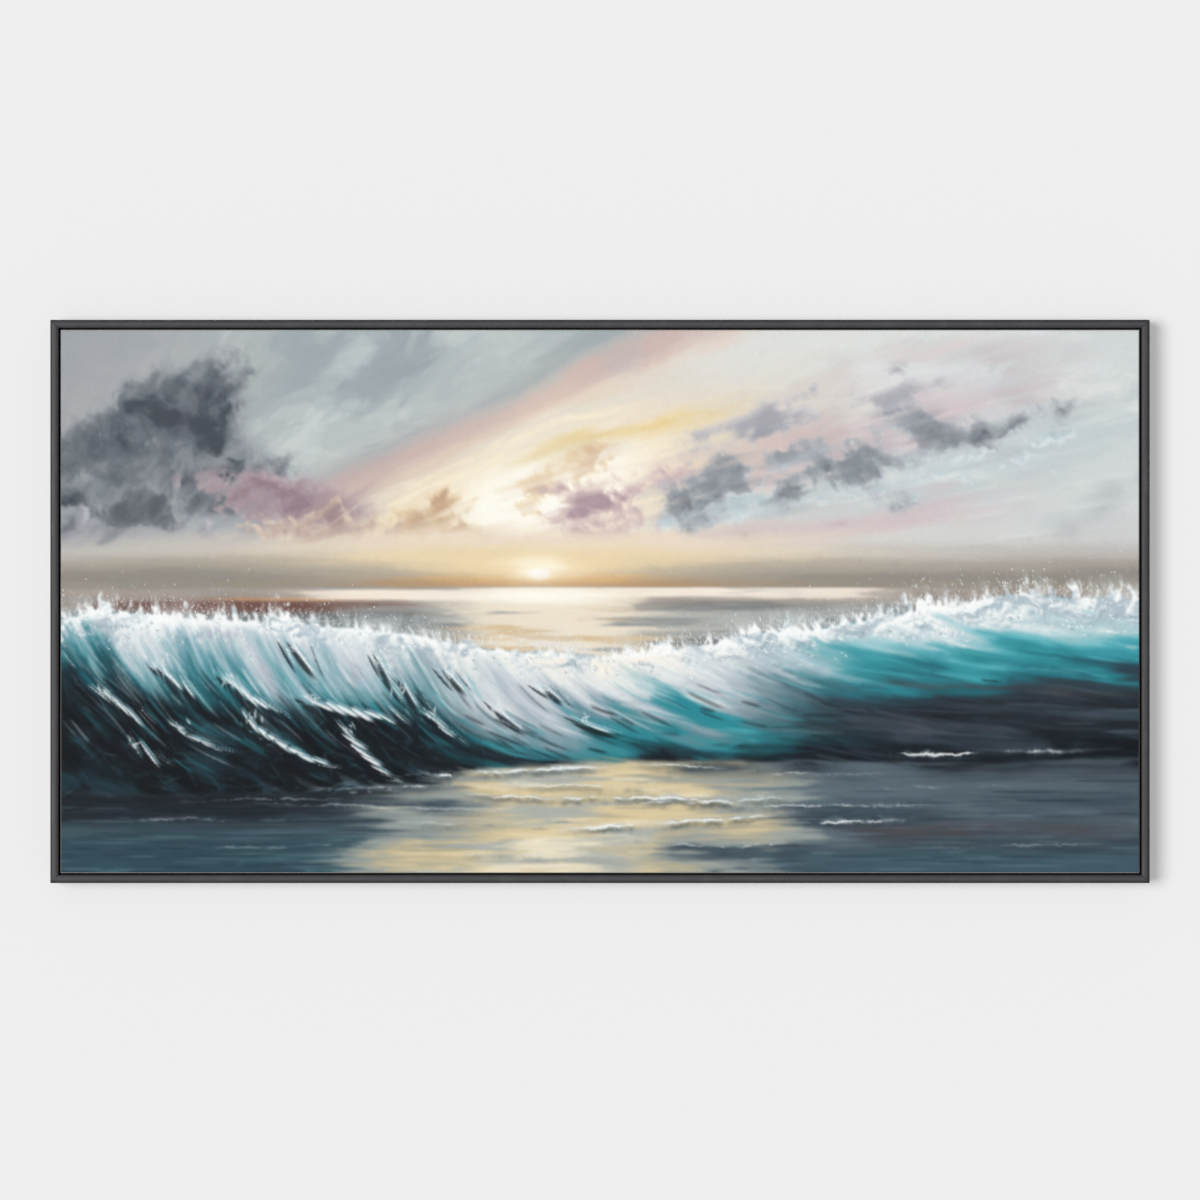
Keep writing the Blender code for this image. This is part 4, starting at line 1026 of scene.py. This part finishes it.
# %% Build a band of the paint skin
def paint_band(name, top, bottom, cell):
    """A closed skin over the whole width between two heights, given as shares of the picture's."""
    columns = int(round(picture_width / cell)) + 1
    rows = int(round((bottom - top) * picture_height / cell)) + 1
    step = (bottom - top) / (rows - 1)
    before, after = (LAP_ROWS if top > 0 else 0), (LAP_ROWS if bottom < 1 else 0)
    u, w = np.meshgrid(np.linspace(0, 1, columns), top + step * np.arange(-before, rows + after))
    rows = len(w)
    x = (u - 0.5) * (picture_width - 2 * SKIN_INSET)
    z = picture_top - SKIN_INSET - w * (picture_height - 2 * SKIN_INSET)
    rise = FILM_LEAST + PAINT_RISE * read_grid(relief, u, w)
    rise[:before] -= LAP_DROP
    rise[rows - after :] -= LAP_DROP
    front = np.stack([x, FILM_BACK - rise, z], -1).reshape(-1, 3)
    ends = ((0, 0), (0, -1), (-1, -1), (-1, 0))
    points = np.vstack([front, [(x[end], FILM_BACK, z[end]) for end in ends]])

    index = np.arange(rows * columns).reshape(rows, columns)
    quads = np.stack([index[:-1, :-1], index[1:, :-1], index[1:, 1:], index[:-1, 1:]], -1).reshape(-1, 4)
    back = len(front) + np.arange(4)
    walls = [
        [*index[0], back[1], back[0]],
        [*index[::-1, 0], back[0], back[3]],
        [*index[-1, ::-1], back[3], back[2]],
        [*index[:, -1], back[2], back[1]],
        list(back),
    ]
    sizes = np.array([4] * len(quads) + [len(wall) for wall in walls])
    corners = np.concatenate([quads.ravel(), *walls]).astype(np.int32)
    mesh = bpy.data.meshes.new(name)
    mesh.vertices.add(len(points))
    mesh.vertices.foreach_set("co", points.astype(np.float32).ravel())
    mesh.loops.add(len(corners))
    mesh.loops.foreach_set("vertex_index", corners)
    mesh.polygons.add(len(sizes))
    mesh.polygons.foreach_set("loop_start", (np.cumsum(sizes) - sizes).astype(np.int32))
    mesh.update(calc_edges=True)
    smooth = np.ones(len(sizes), bool)
    smooth[-5:] = False
    mesh.polygons.foreach_set("use_smooth", smooth)

    colours = np.ones((len(points), 4), np.float32)
    seen_paint = to_linear(read_grid(paint, u, w)).reshape(-1, 3)
    colours[: len(front), :3] = seen_paint
    colours[len(front) :, :3] = seen_paint[[0, columns - 1, -1, -columns]]
    mesh.attributes.new("pigment", "FLOAT_COLOR", "POINT").data.foreach_set("color", colours.ravel())
    thickness = np.append(read_grid(relief, u, w).ravel(), [0] * 4).astype(np.float32)
    mesh.attributes.new("paint_body", "FLOAT", "POINT").data.foreach_set("value", thickness)

    # The front fills the map, and the narrow walls and the back share a strip below it
    spread = np.stack([u, 0.03 + 0.965 * (w[-1, 0] - w) / (w[-1, 0] - w[0, 0])], -1).reshape(-1, 2)
    spread = np.vstack([spread, np.zeros((4, 2))])[corners]
    start = len(quads) * 4
    for k, wall in enumerate(walls):
        share = np.linspace(0, 1, len(wall) - 2) if k < 4 else np.array([0.0, 1.0])
        low = 0.002 + 0.005 * k
        strip = np.full((len(wall), 2), low)
        strip[: len(share), 0] = share
        strip[: len(share), 1] += 0.003
        strip[len(share) :, 0] = (1, 0)
        spread[start : start + len(wall)] = strip
        start += len(wall)
    mesh.uv_layers.new(name="OFBake").data.foreach_set("uv", spread.astype(np.float32).ravel())
    piece = bpy.data.objects.new(name, mesh)
    bpy.context.scene.collection.objects.link(piece)
    print(name, columns, "by", rows, "points,", (columns - 1) * (rows - 1) * 2, "triangles")
    return piece


# Each band: where it starts and ends, and its cells' size in metres
BANDS = (
    ("painted_high_sky", 0.0, 0.232, 0.00155),
    ("painted_low_sky", 0.232, 0.464, 0.00155),
    ("painted_crest", 0.464, 0.598, 0.0011),
    ("painted_wave", 0.598, 0.732, 0.0011),
    ("painted_trough", 0.732, 0.866, 0.0011),
    ("painted_shallows", 0.866, 1.0, 0.0013),
)
paint_skin = [paint_band(*band) for band in BANDS]

# %% [markdown]
# ## Oil paint
#
# Oil paint dries to a satin skin. Thin paint lets the weave of the cotton show through, while
# thick paint hides it and shines a little more. The colour comes from the points' own
# attribute, and the weave fades out where the paint is thick. Real threads of this canvas are
# about 0.7 mm apart, too fine for the render, so they are drawn 3 mm apart.

# %% Oil paint on woven cotton
WEAVE_PITCH = 0.003
# Blender's wave pattern repeats every 2 pi / (20 * scale)
WEAVE_SCALE = math.pi / (10 * WEAVE_PITCH)


def crossed_threads(tree, place, distortion, meeting, detail):
    """Threads across and up, over and under. Returns the socket of their height."""
    yarn = {"Vector": place, "Scale": WEAVE_SCALE, "Distortion": distortion, **detail}
    warp = add(tree, "ShaderNodeTexWave", yarn, bands_direction="X").outputs["Fac"]
    weft = add(tree, "ShaderNodeTexWave", yarn, bands_direction="Z").outputs["Fac"]
    return add(tree, "ShaderNodeMath", {0: warp, 1: weft}, operation=meeting).outputs[0]


oil = "oil paint, brushed on primed cotton"
oil_paint, tree, place = new_finish(oil, Roughness=0.42, Specular_IOR_Level=0.13)
own_colour = add(tree, "ShaderNodeAttribute", attribute_name="pigment").outputs["Color"]
own_body = add(tree, "ShaderNodeAttribute", attribute_name="paint_body").outputs["Fac"]
patches = add(tree, "ShaderNodeTexNoise", {"Vector": place, "Scale": 900.0, "Detail": 3.0}).outputs["Fac"]
uneven = add(tree, "ShaderNodeMapRange", {0: patches, 1: 0.3, 2: 0.7, 3: 0.965, 4: 1.035})
mottled = add(tree, "ShaderNodeVectorMath", {0: own_colour, 3: uneven.outputs[0]}, operation="SCALE")
gloss = add(tree, "ShaderNodeMapRange", {0: own_body, 1: 0.2, 2: 1.4, 3: 0.50, 4: 0.30})
woven = crossed_threads(tree, place, 0.6, "MULTIPLY", {"Detail": 1.0})
bare = add(tree, "ShaderNodeMapRange", {0: own_body, 1: 0.15, 2: 0.7, 3: 1.0, 4: 0.0})
weave = add(tree, "ShaderNodeMath", {0: woven, 1: bare.outputs[0]}, operation="MULTIPLY")
hairs = add(tree, "ShaderNodeMath", {0: patches, 1: weave.outputs[0]}, operation="ADD")
bump = add(tree, "ShaderNodeBump", {"Height": hairs.outputs[0], "Strength": 0.25, "Distance": 0.0002})
feed(tree, Base_Color=mottled.outputs[0], Roughness=gloss.outputs[0], Normal=bump.outputs[0])
for piece in paint_skin:
    piece.data.materials.append(oil_paint)
print(len(paint_skin), "bands painted")

# %% [markdown]
# ## The stretched cotton
#
# The cloth goes over the front of the strainer, round its edges and back behind it, where it
# is stapled. Before painting, it was primed white on its outer side, so the turned-back hem
# shows white primer while the hollows between the bars show raw cotton. Its section is drawn
# once, as steps in from the edge and away from the wall, and runs round the rectangle with
# mitred corners.

# %% The cloth's section
CLOTH = 0.001
HEM_REACH = 0.0248
front_y, hem_y = cloth_low[1], cloth_high[1]
# (distance in from the edge, y): the outer skin from the picture round to the hem's end
SECTION = [(0.030, front_y), (0.012, front_y), (0.0012, front_y), (0.0004, front_y + 0.0004)]
SECTION += [(0.0, front_y + 0.0012), (0.0, front_y + 0.0085), (0.0, front_y + 0.0165)]
SECTION += [(0.0, hem_y - 0.0012), (0.0004, hem_y - 0.0004), (0.0012, hem_y), (0.012, hem_y)]
SECTION += [(HEM_REACH - 0.0004, hem_y), (HEM_REACH, hem_y - 0.0004), (HEM_REACH, hem_y - 0.0009)]
# and the inner skin back
SECTION += [(HEM_REACH - 0.0006, hem_y - CLOTH), (0.0012, hem_y - CLOTH), (CLOTH, hem_y - CLOTH - 0.0003)]
SECTION += [(CLOTH, front_y + CLOTH + 0.0003), (0.0013, front_y + CLOTH), (0.030, front_y + CLOTH)]
OUTER_COUNT = 13
ALONG_STEP = 0.008


# %% Run the section round the canvas
low, high = Vector(cloth_low), Vector(cloth_high)
corner = [(low.x, high.z), (low.x, low.z), (high.x, low.z), (high.x, high.z)]
inward = [(1, -1), (1, 1), (-1, 1), (-1, -1)]
stations = []
for side in range(4):
    a, b = side, (side + 1) % 4
    span = math.dist(corner[a], corner[b])
    count = int(round(span / ALONG_STEP))
    stations += [(a, b, k / count) for k in range(count)]
shape = bmesh.new()
rings = []
rng = np.random.default_rng(15)
for number, (a, b, share) in enumerate(stations):
    ring = []
    frayed = 0.0004 * math.sin(number * 1.7) + 0.0003 * math.sin(number * 0.63 + 2) + rng.normal(0, 0.0001)
    slack = 0.00012 * math.sin(number * 0.9) + 0.0001 * math.sin(number * 2.3)
    for step, (inset, y) in enumerate(SECTION):
        if inset > HEM_REACH - 0.001 and 10 < step < 15:
            inset += frayed
        ends = [(corner[k][0] + inward[k][0] * inset, corner[k][1] + inward[k][1] * inset) for k in (a, b)]
        x = ends[0][0] + (ends[1][0] - ends[0][0]) * share
        z = ends[0][1] + (ends[1][1] - ends[0][1]) * share
        if step in (10, 11) and number % 4 == 1:
            y -= abs(slack)
        ring.append(shape.verts.new((x, y, z)))
    rings.append(ring)
count = len(rings)
for number, ring in enumerate(rings):
    after = rings[(number + 1) % count]
    for step in range(len(SECTION) - 1):
        face = shape.faces.new((ring[step], ring[step + 1], after[step + 1], after[step]))
        face.material_index = 0 if step < OUTER_COUNT else 1
        face.smooth = True
print(count, "places round the cloth,", len(shape.faces), "faces")

# %% [markdown]
# Inside the section's inner end the cloth is flat, drawn tight like a drum. One face closes
# its front, which the paint hides, and one its back, which shows between the bars.

# %% Close the middle of the cloth
for ring_step, material in ((0, 0), (-1, 1)):
    shape.faces.new([ring[ring_step] for ring in rings]).material_index = material
bmesh.ops.recalc_face_normals(shape, faces=shape.faces)
cloth_mesh = bpy.data.meshes.new("stretched_cotton")
shape.to_mesh(cloth_mesh)
volume = shape.calc_volume()
area = sum(face.calc_area() for face in shape.faces)
shape.free()
cloth = bpy.data.objects.new("stretched_cotton", cloth_mesh)
bpy.context.scene.collection.objects.link(cloth)
print("cloth volume", round(volume * 1e6, 1), "cm3, area", round(area, 3), "m2, each side",
      round(area / 2, 3))

# %% [markdown]
# Primer is a chalky white with the weave still faintly in it. Raw cotton is warm and has the
# weave at full depth, with a few darker seeds and slubs in its threads. Oil has soaked through
# here and there as pale brown stains. Both use the same weave size as the paint.

# %% Primed and raw cotton
slub = {"Detail": 2.0, "Detail Scale": 0.6}
primer, tree, place = new_finish("acrylic primer on cotton", Roughness=0.75)
yarns = crossed_threads(tree, place, 0.8, "ADD", slub)
smears = add(tree, "ShaderNodeTexNoise", {"Vector": place, "Scale": 60.0, "Detail": 4.0})
whites = {0: smears.outputs["Fac"], 6: linear("#E4E1D9"), 7: linear("#F2F0EA")}
tone = add(tree, "ShaderNodeMix", whites, data_type="RGBA")
bump = add(tree, "ShaderNodeBump", {"Height": yarns, "Strength": 0.3, "Distance": 0.0003})
feed(tree, Base_Color=tone.outputs[2], Normal=bump.outputs[0])

raw_cotton, tree, place = new_finish("raw cotton duck", Roughness=0.88)
yarns = crossed_threads(tree, place, 1.4, "ADD", slub)
slubs = add(tree, "ShaderNodeTexNoise", {"Vector": place, "Scale": 420.0, "Detail": 3.0})
stains = add(tree, "ShaderNodeTexNoise", {"Vector": place, "Scale": 7.0, "Detail": 3.0})
cottons = {0: yarns, 6: linear("#B9A67F"), 7: linear("#DDD0B2")}
base = add(tree, "ShaderNodeMix", cottons, data_type="RGBA")
flecked = add(tree, "ShaderNodeMapRange", {0: slubs.outputs["Fac"], 1: 0.63, 2: 0.72})
seed_brown = {0: flecked.outputs[0], 6: base.outputs[2], 7: linear("#9A8355")}
seeds = add(tree, "ShaderNodeMix", seed_brown, data_type="RGBA")
soaked = add(tree, "ShaderNodeMapRange", {0: stains.outputs["Fac"], 1: 0.56, 2: 0.70, 4: 0.45})
oil_brown = {0: soaked.outputs[0], 6: seeds.outputs[2], 7: linear("#A88F62")}
oiled = add(tree, "ShaderNodeMix", oil_brown, data_type="RGBA")
bump = add(tree, "ShaderNodeBump", {"Height": yarns, "Strength": 0.5, "Distance": 0.0005})
feed(tree, Base_Color=oiled.outputs[2], Normal=bump.outputs[0])
cloth_mesh.materials.append(primer)
cloth_mesh.materials.append(raw_cotton)
print("cotton dressed")

# %% [markdown]
# ## Staples
#
# Staples hold the hem to the bars, 45 mm apart, close to its cut edge. One staple is a flat
# wire crown with two short legs that go into the cloth. Geometry Nodes set a copy of it at
# equal steps along a path that runs round the hem, turned to the path's tangent. On a path of
# four points the tangent swings evenly from one corner's diagonal to the next, so the staples
# slant near the corners, more than real ones do, and lie along the hem in each side's middle.


# %% One staple and the path it follows
def link_mesh(name, shape):
    mesh = bpy.data.meshes.new(name)
    shape.to_mesh(mesh)
    shape.free()
    made = bpy.data.objects.new(name, mesh)
    bpy.context.scene.collection.objects.link(made)
    return made


def staple_shape(crown, wire_wide, wire_thick, leg):
    """A bent flat wire, crown along X, legs going down to -Z, with its corners rounded."""
    half, bend = crown / 2, wire_thick * 1.2
    outline = [(-half, -leg), (-half, -bend), (-half + bend * 0.3, -bend * 0.3), (-half + bend, 0)]
    outline += [(half - bend, 0), (half - bend * 0.3, -bend * 0.3), (half, -bend), (half, -leg)]
    inner = [(x * (1 - wire_thick / half), z if z == -leg else z - wire_thick) for x, z in outline]
    shape = bmesh.new()
    loops = []
    for y in (-wire_wide / 2, wire_wide / 2):
        loops.append([shape.verts.new((x, y, z)) for x, z in outline + inner[::-1]])
    n = len(loops[0])
    for k in range(n):
        shape.faces.new((loops[0][k], loops[0][(k + 1) % n], loops[1][(k + 1) % n], loops[1][k]))
    half_count = n // 2
    for loop, flip in ((loops[0], False), (loops[1], True)):
        for k in range(half_count - 1):
            corners = (loop[k], loop[n - 1 - k], loop[n - 2 - k], loop[k + 1])
            shape.faces.new(corners[::-1] if flip else corners)
    bmesh.ops.recalc_face_normals(shape, faces=shape.faces)
    return shape


one_staple = staple_shape(crown=0.010, wire_wide=0.0012, wire_thick=0.0006, leg=0.0012)
staple = link_mesh("staple_pattern", one_staple)
STAPLE_INSET = 0.0223
STAPLE_PROUD = 0.0003
path = bpy.data.curves.new("staple_path", "CURVE")
path.dimensions = "3D"
line = path.splines.new("POLY")
line.points.add(3)
for point, k in zip(line.points, range(4)):
    point.co = (corner[k][0] + inward[k][0] * STAPLE_INSET, hem_y + STAPLE_PROUD,
                corner[k][1] + inward[k][1] * STAPLE_INSET, 1)
line.use_cyclic_u = True
staple_path = bpy.data.objects.new("staples", path)
bpy.context.scene.collection.objects.link(staple_path)
print("staple", len(staple.data.polygons), "faces")

# %% [markdown]
# The tree has inputs for the staple, its material, the step between two of them and the most
# that a hand turns one. It lays each crown flat on the hem, turned to the path, and adds a
# small random turn, because a staple gun is held by hand.

# %% The staples' tree
plated = "zinc-plated steel, drawn wire and pressed sheet"
zinc, tree, place = new_finish(plated, Metallic=1.0, Roughness=0.34)
spangle = add(tree, "ShaderNodeTexVoronoi", {"Vector": place, "Scale": 350.0})
drawn = add(tree, "ShaderNodeTexNoise", {"Vector": place, "Scale": 1500.0, "Detail": 3.0}).outputs["Fac"]
greys = {0: spangle.outputs["Distance"], 6: linear("#A9ADB2"), 7: linear("#C9CBCB")}
tone = add(tree, "ShaderNodeMix", greys, data_type="RGBA")
rough = add(tree, "ShaderNodeMapRange", {0: drawn, 3: 0.26, 4: 0.46})
bump = add(tree, "ShaderNodeBump", {"Height": drawn, "Strength": 0.15, "Distance": 0.0001})
feed(tree, Base_Color=tone.outputs[2], Roughness=rough.outputs[0], Normal=bump.outputs[0])

stapler = bpy.data.node_groups.new("set staples along a path", "GeometryNodeTree")
inputs = {"Path": "Geometry", "Staple": "Object", "Finish": "Material", "Step": "Float", "Hand": "Float"}
for name, kind in inputs.items():
    stapler.interface.new_socket(name, in_out="INPUT", socket_type="NodeSocket" + kind)
stapler.interface.new_socket("Staples", in_out="OUTPUT", socket_type="NodeSocketGeometry")
given = add(stapler, "NodeGroupInput")
spaced = add(stapler, "GeometryNodeCurveToPoints",
             {"Curve": given.outputs["Path"], "Length": given.outputs["Step"]}, mode="LENGTH")
shape_of = add(stapler, "GeometryNodeObjectInfo", {"Object": given.outputs["Staple"]},
               transform_space="ORIGINAL")
level = add(stapler, "FunctionNodeAlignRotationToVector", {"Vector": (0, 1, 0)}, axis="Z")
turned = add(stapler, "FunctionNodeAlignRotationToVector",
             {"Rotation": level.outputs[0], "Vector": spaced.outputs["Tangent"]},
             axis="X", pivot_axis="Z")
sway = add(stapler, "FunctionNodeRandomValue", {"Seed": 5}, data_type="FLOAT")
stapler.links.new(given.outputs["Hand"], sway.inputs[3])
less = add(stapler, "ShaderNodeMath", {0: given.outputs["Hand"], 1: -1.0}, operation="MULTIPLY")
stapler.links.new(less.outputs[0], sway.inputs[2])
swing = add(stapler, "FunctionNodeAxisAngleToRotation", {"Axis": (0, 0, 1), "Angle": sway.outputs[1]})
held = add(stapler, "FunctionNodeRotateRotation", {"Rotation": turned.outputs[0],
                                                   "Rotate By": swing.outputs[0]}, rotation_space="LOCAL")
copies = add(stapler, "GeometryNodeInstanceOnPoints",
             {"Points": spaced.outputs["Points"], "Instance": shape_of.outputs["Geometry"],
             "Rotation": held.outputs[0]})
real = add(stapler, "GeometryNodeRealizeInstances", {"Geometry": copies.outputs[0]})
finished = add(stapler, "GeometryNodeSetMaterial",
               {"Geometry": real.outputs[0], "Material": given.outputs["Finish"]})
add(stapler, "NodeGroupOutput", {"Staples": finished.outputs[0]})


# %% Run a tree and keep its result as a plain mesh
def grow(source, group, name, values):
    """Runs a tree on an object with the named inputs, and returns its result as a plain mesh piece."""
    modifier = source.modifiers.new(group.name, "NODES")
    modifier.node_group = group
    for item in group.interface.items_tree:
        if item.in_out == "INPUT" and item.name in values:
            modifier[item.identifier] = values[item.name]
    graph = bpy.context.evaluated_depsgraph_get()
    mesh = bpy.data.meshes.new_from_object(source.evaluated_get(graph), depsgraph=graph)
    source.modifiers.remove(modifier)
    piece = bpy.data.objects.new(name, mesh)
    mesh.name = name
    bpy.context.scene.collection.objects.link(piece)
    bpy.data.objects.remove(source)
    return piece


STAPLE_STEP = 0.0452
by_hand = {"Staple": staple, "Finish": zinc, "Step": STAPLE_STEP, "Hand": math.radians(7)}
staples = grow(staple_path, stapler, "hem_staples", by_hand)
bpy.data.objects.remove(staple)
print("staples:", len(staples.data.polygons), "faces, box", [round(v, 4) for v in staples.dimensions])

# %% [markdown]
# ## Black lacquer
#
# The floater frame is a machined moulding sprayed with satin black lacquer. The sprayed film
# evens out the grain but leaves a faint trace of it along each rail, and a little dust greys it
# here and there. The middle of the narrow face is painted lighter than its edges: a painted
# highlight along the face, with painted shade at both edges and on the sides. One recipe serves
# all four rails, with the grain turned to run along each.

# %% Satin black lacquer on the rails
def edge_distance(tree, coordinate, axis):
    """How far in from the nearer of the frame's two outer edges on one axis a coordinate lies."""
    centre, half = middle[axis], cad_box[1][axis] - middle[axis]
    offset = add(tree, "ShaderNodeMath", {0: coordinate, 1: centre}, operation="SUBTRACT")
    size = add(tree, "ShaderNodeMath", {0: offset.outputs[0]}, operation="ABSOLUTE")
    return add(tree, "ShaderNodeMath", {0: half, 1: size.outputs[0]}, operation="SUBTRACT").outputs[0]


def lacquer(name, stretch):
    """Grain is noise stretched along the rail. stretch gives the noise's scale along X, Y and Z."""
    satin = {"Roughness": 0.5, "Specular_IOR_Level": 0.3, "Coat_Weight": 0.05, "Coat_Roughness": 0.3}
    made, tree, place = new_finish(name, **satin)
    drawn_out = add(tree, "ShaderNodeMapping", {"Vector": place, "Scale": stretch}).outputs[0]
    fine = {"Vector": drawn_out, "Scale": 1.0, "Detail": 4.0, "Roughness": 0.6}
    pores = add(tree, "ShaderNodeTexNoise", fine).outputs["Fac"]
    dust = add(tree, "ShaderNodeTexNoise", {"Vector": place, "Scale": 40.0, "Detail": 5.0}).outputs["Fac"]
    blacks = {0: pores, 6: linear("#343437"), 7: linear("#48484B")}
    black = add(tree, "ShaderNodeMix", blacks, data_type="RGBA")
    dusted = add(tree, "ShaderNodeMapRange", {0: dust, 1: 0.5, 2: 0.8, 4: 0.12})
    grey = {0: dusted.outputs[0], 6: black.outputs[2], 7: linear("#77767A")}
    greyed = add(tree, "ShaderNodeMix", grey, data_type="RGBA")
    # The middle of the 9 mm face is made lighter as a painted highlight, and both its edges and the sides
    # darker as painted shade
    split = add(tree, "ShaderNodeSeparateXYZ", {0: place})
    level_in, up_in = edge_distance(tree, split.outputs["X"], 0), edge_distance(tree, split.outputs["Z"], 2)
    nearer = add(tree, "ShaderNodeMath", {0: level_in, 1: up_in}, operation="MINIMUM").outputs[0]
    outer = add(tree, "ShaderNodeMapRange", {0: nearer, 1: 0.0005, 2: 0.0045, 3: 0.55, 4: 1.35})
    inner = add(tree, "ShaderNodeMapRange", {0: nearer, 1: 0.0050, 2: 0.0090, 3: 1.0, 4: 0.55})
    painted_highlight_and_shade = add(tree, "ShaderNodeMath", {0: outer.outputs[0], 1: inner.outputs[0]}, operation="MULTIPLY")
    shade = {0: greyed.outputs[2], 3: painted_highlight_and_shade.outputs[0]}
    shaded = add(tree, "ShaderNodeVectorMath", shade, operation="SCALE")
    haze = add(tree, "ShaderNodeMapRange", {0: dust, 1: 0.3, 2: 0.7, 3: 0.44, 4: 0.58})
    rise = add(tree, "ShaderNodeBump", {"Height": pores, "Strength": 0.35, "Distance": 0.0002})
    feed(tree, Base_Color=shaded.outputs[0], Roughness=haze.outputs[0], Normal=rise.outputs[0])
    return made


# Pores are about 0.8 mm wide and 30 mm long, drawn twice as wide as real ones so that they show
directions = (
    ("grain level", (30, 1200, 1200), ("top", "bottom")),
    ("grain upright", (1200, 1200, 30), ("left", "right")),
)
for grain_way, stretch, sides in directions:
    finish = lacquer("satin black lacquer, " + grain_way, stretch)
    for side in sides:
        dress("frame_rail_" + side, finish)
print("rails lacquered")

# %% [markdown]
# ## Pine
#
# Strainer bars are planed pine, left bare. Flat-sawn pine has broad, wavy growth rings drawn
# out along the bar, pale early wood between narrow orange late wood, fine fibres and small
# resin streaks. The rings are a wave pattern on stretched coordinates.


# %% Planed pine on the bars
def pine(name, turn, log):
    """Pine for one bar. turn brings the bar's length to X, and each log has its own rings."""
    made, tree, place = new_finish(name, Roughness=0.62)
    spot = {"Vector": place, "Rotation": turn, "Location": (log, log * 0.37, log * 0.61)}
    along_bar = add(tree, "ShaderNodeMapping", spot).outputs[0]
    # Rings are about 12 mm apart and waver over 300 mm, and fibres are under 1 mm wide
    ring_space = add(tree, "ShaderNodeMapping", {"Vector": along_bar, "Scale": (3.0, 40.0, 40.0)}).outputs[0]
    fibre_space = add(tree, "ShaderNodeMapping", {"Vector": along_bar, "Scale": (40.0, 1400.0, 1400.0)})
    sway = add(tree, "ShaderNodeTexNoise", {"Vector": ring_space, "Scale": 1.0, "Detail": 2.0})
    growth = {"Vector": ring_space, "Scale": 1.3, "Distortion": 5.0, "Detail": 3.0, "Detail Scale": 0.8}
    rings = add(tree, "ShaderNodeTexWave", growth, bands_direction="DIAGONAL", wave_profile="SAW")
    fine = {"Vector": fibre_space.outputs[0], "Scale": 1.0, "Detail": 3.0}
    fibres = add(tree, "ShaderNodeTexNoise", fine).outputs["Fac"]
    # Late wood over early wood, then a warmer cast here and there, then dark fibres
    colour = linear("#E3C795")
    for height, start, end, most, over in (
        (rings.outputs["Fac"], 0.55, 1.0, 0.75, "#C0905A"),
        (sway.outputs["Fac"], 0.3, 0.7, 0.35, "#D2A76E"),
        (fibres, 0.55, 0.75, 0.35, "#A97B48"),
    ):
        share = add(tree, "ShaderNodeMapRange", {0: height, 1: start, 2: end, 4: most}).outputs[0]
        layer = {0: share, 6: colour, 7: linear(over)}
        colour = add(tree, "ShaderNodeMix", layer, data_type="RGBA").outputs[2]
    rise = add(tree, "ShaderNodeBump", {"Height": fibres, "Strength": 0.3, "Distance": 0.0002})
    feed(tree, Base_Color=colour, Normal=rise.outputs[0])
    return made


UPRIGHT_TURN = (0, math.radians(90), 0)
bars = ["stretcher_bar_top", "stretcher_bar_bottom", "stretcher_bar_left", "stretcher_bar_right"]
for number, node in enumerate([*bars, "cross_brace"]):
    turn = (0, 0, 0) if number < 2 else UPRIGHT_TURN
    dress(node, pine("planed pine " + node.split("_")[-1], turn, 1.3 * number))
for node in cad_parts:
    if "screw" in node or "hanger" in node:
        dress(node, zinc)
print("pine and zinc done")

# %% [markdown]
# ## Hand the pieces over
#
# Every new piece moves with the one body. The cloth and the paint on it stand for the CAD's
# plain canvas, which is hidden. The cloth was cut nearly 50 mm larger than the picture on each
# side, for the turned edge and the hem.

# %% Bodies
for piece in [cloth, *paint_skin]:
    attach(piece, "root")
    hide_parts("canvas")
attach(staples, "root")
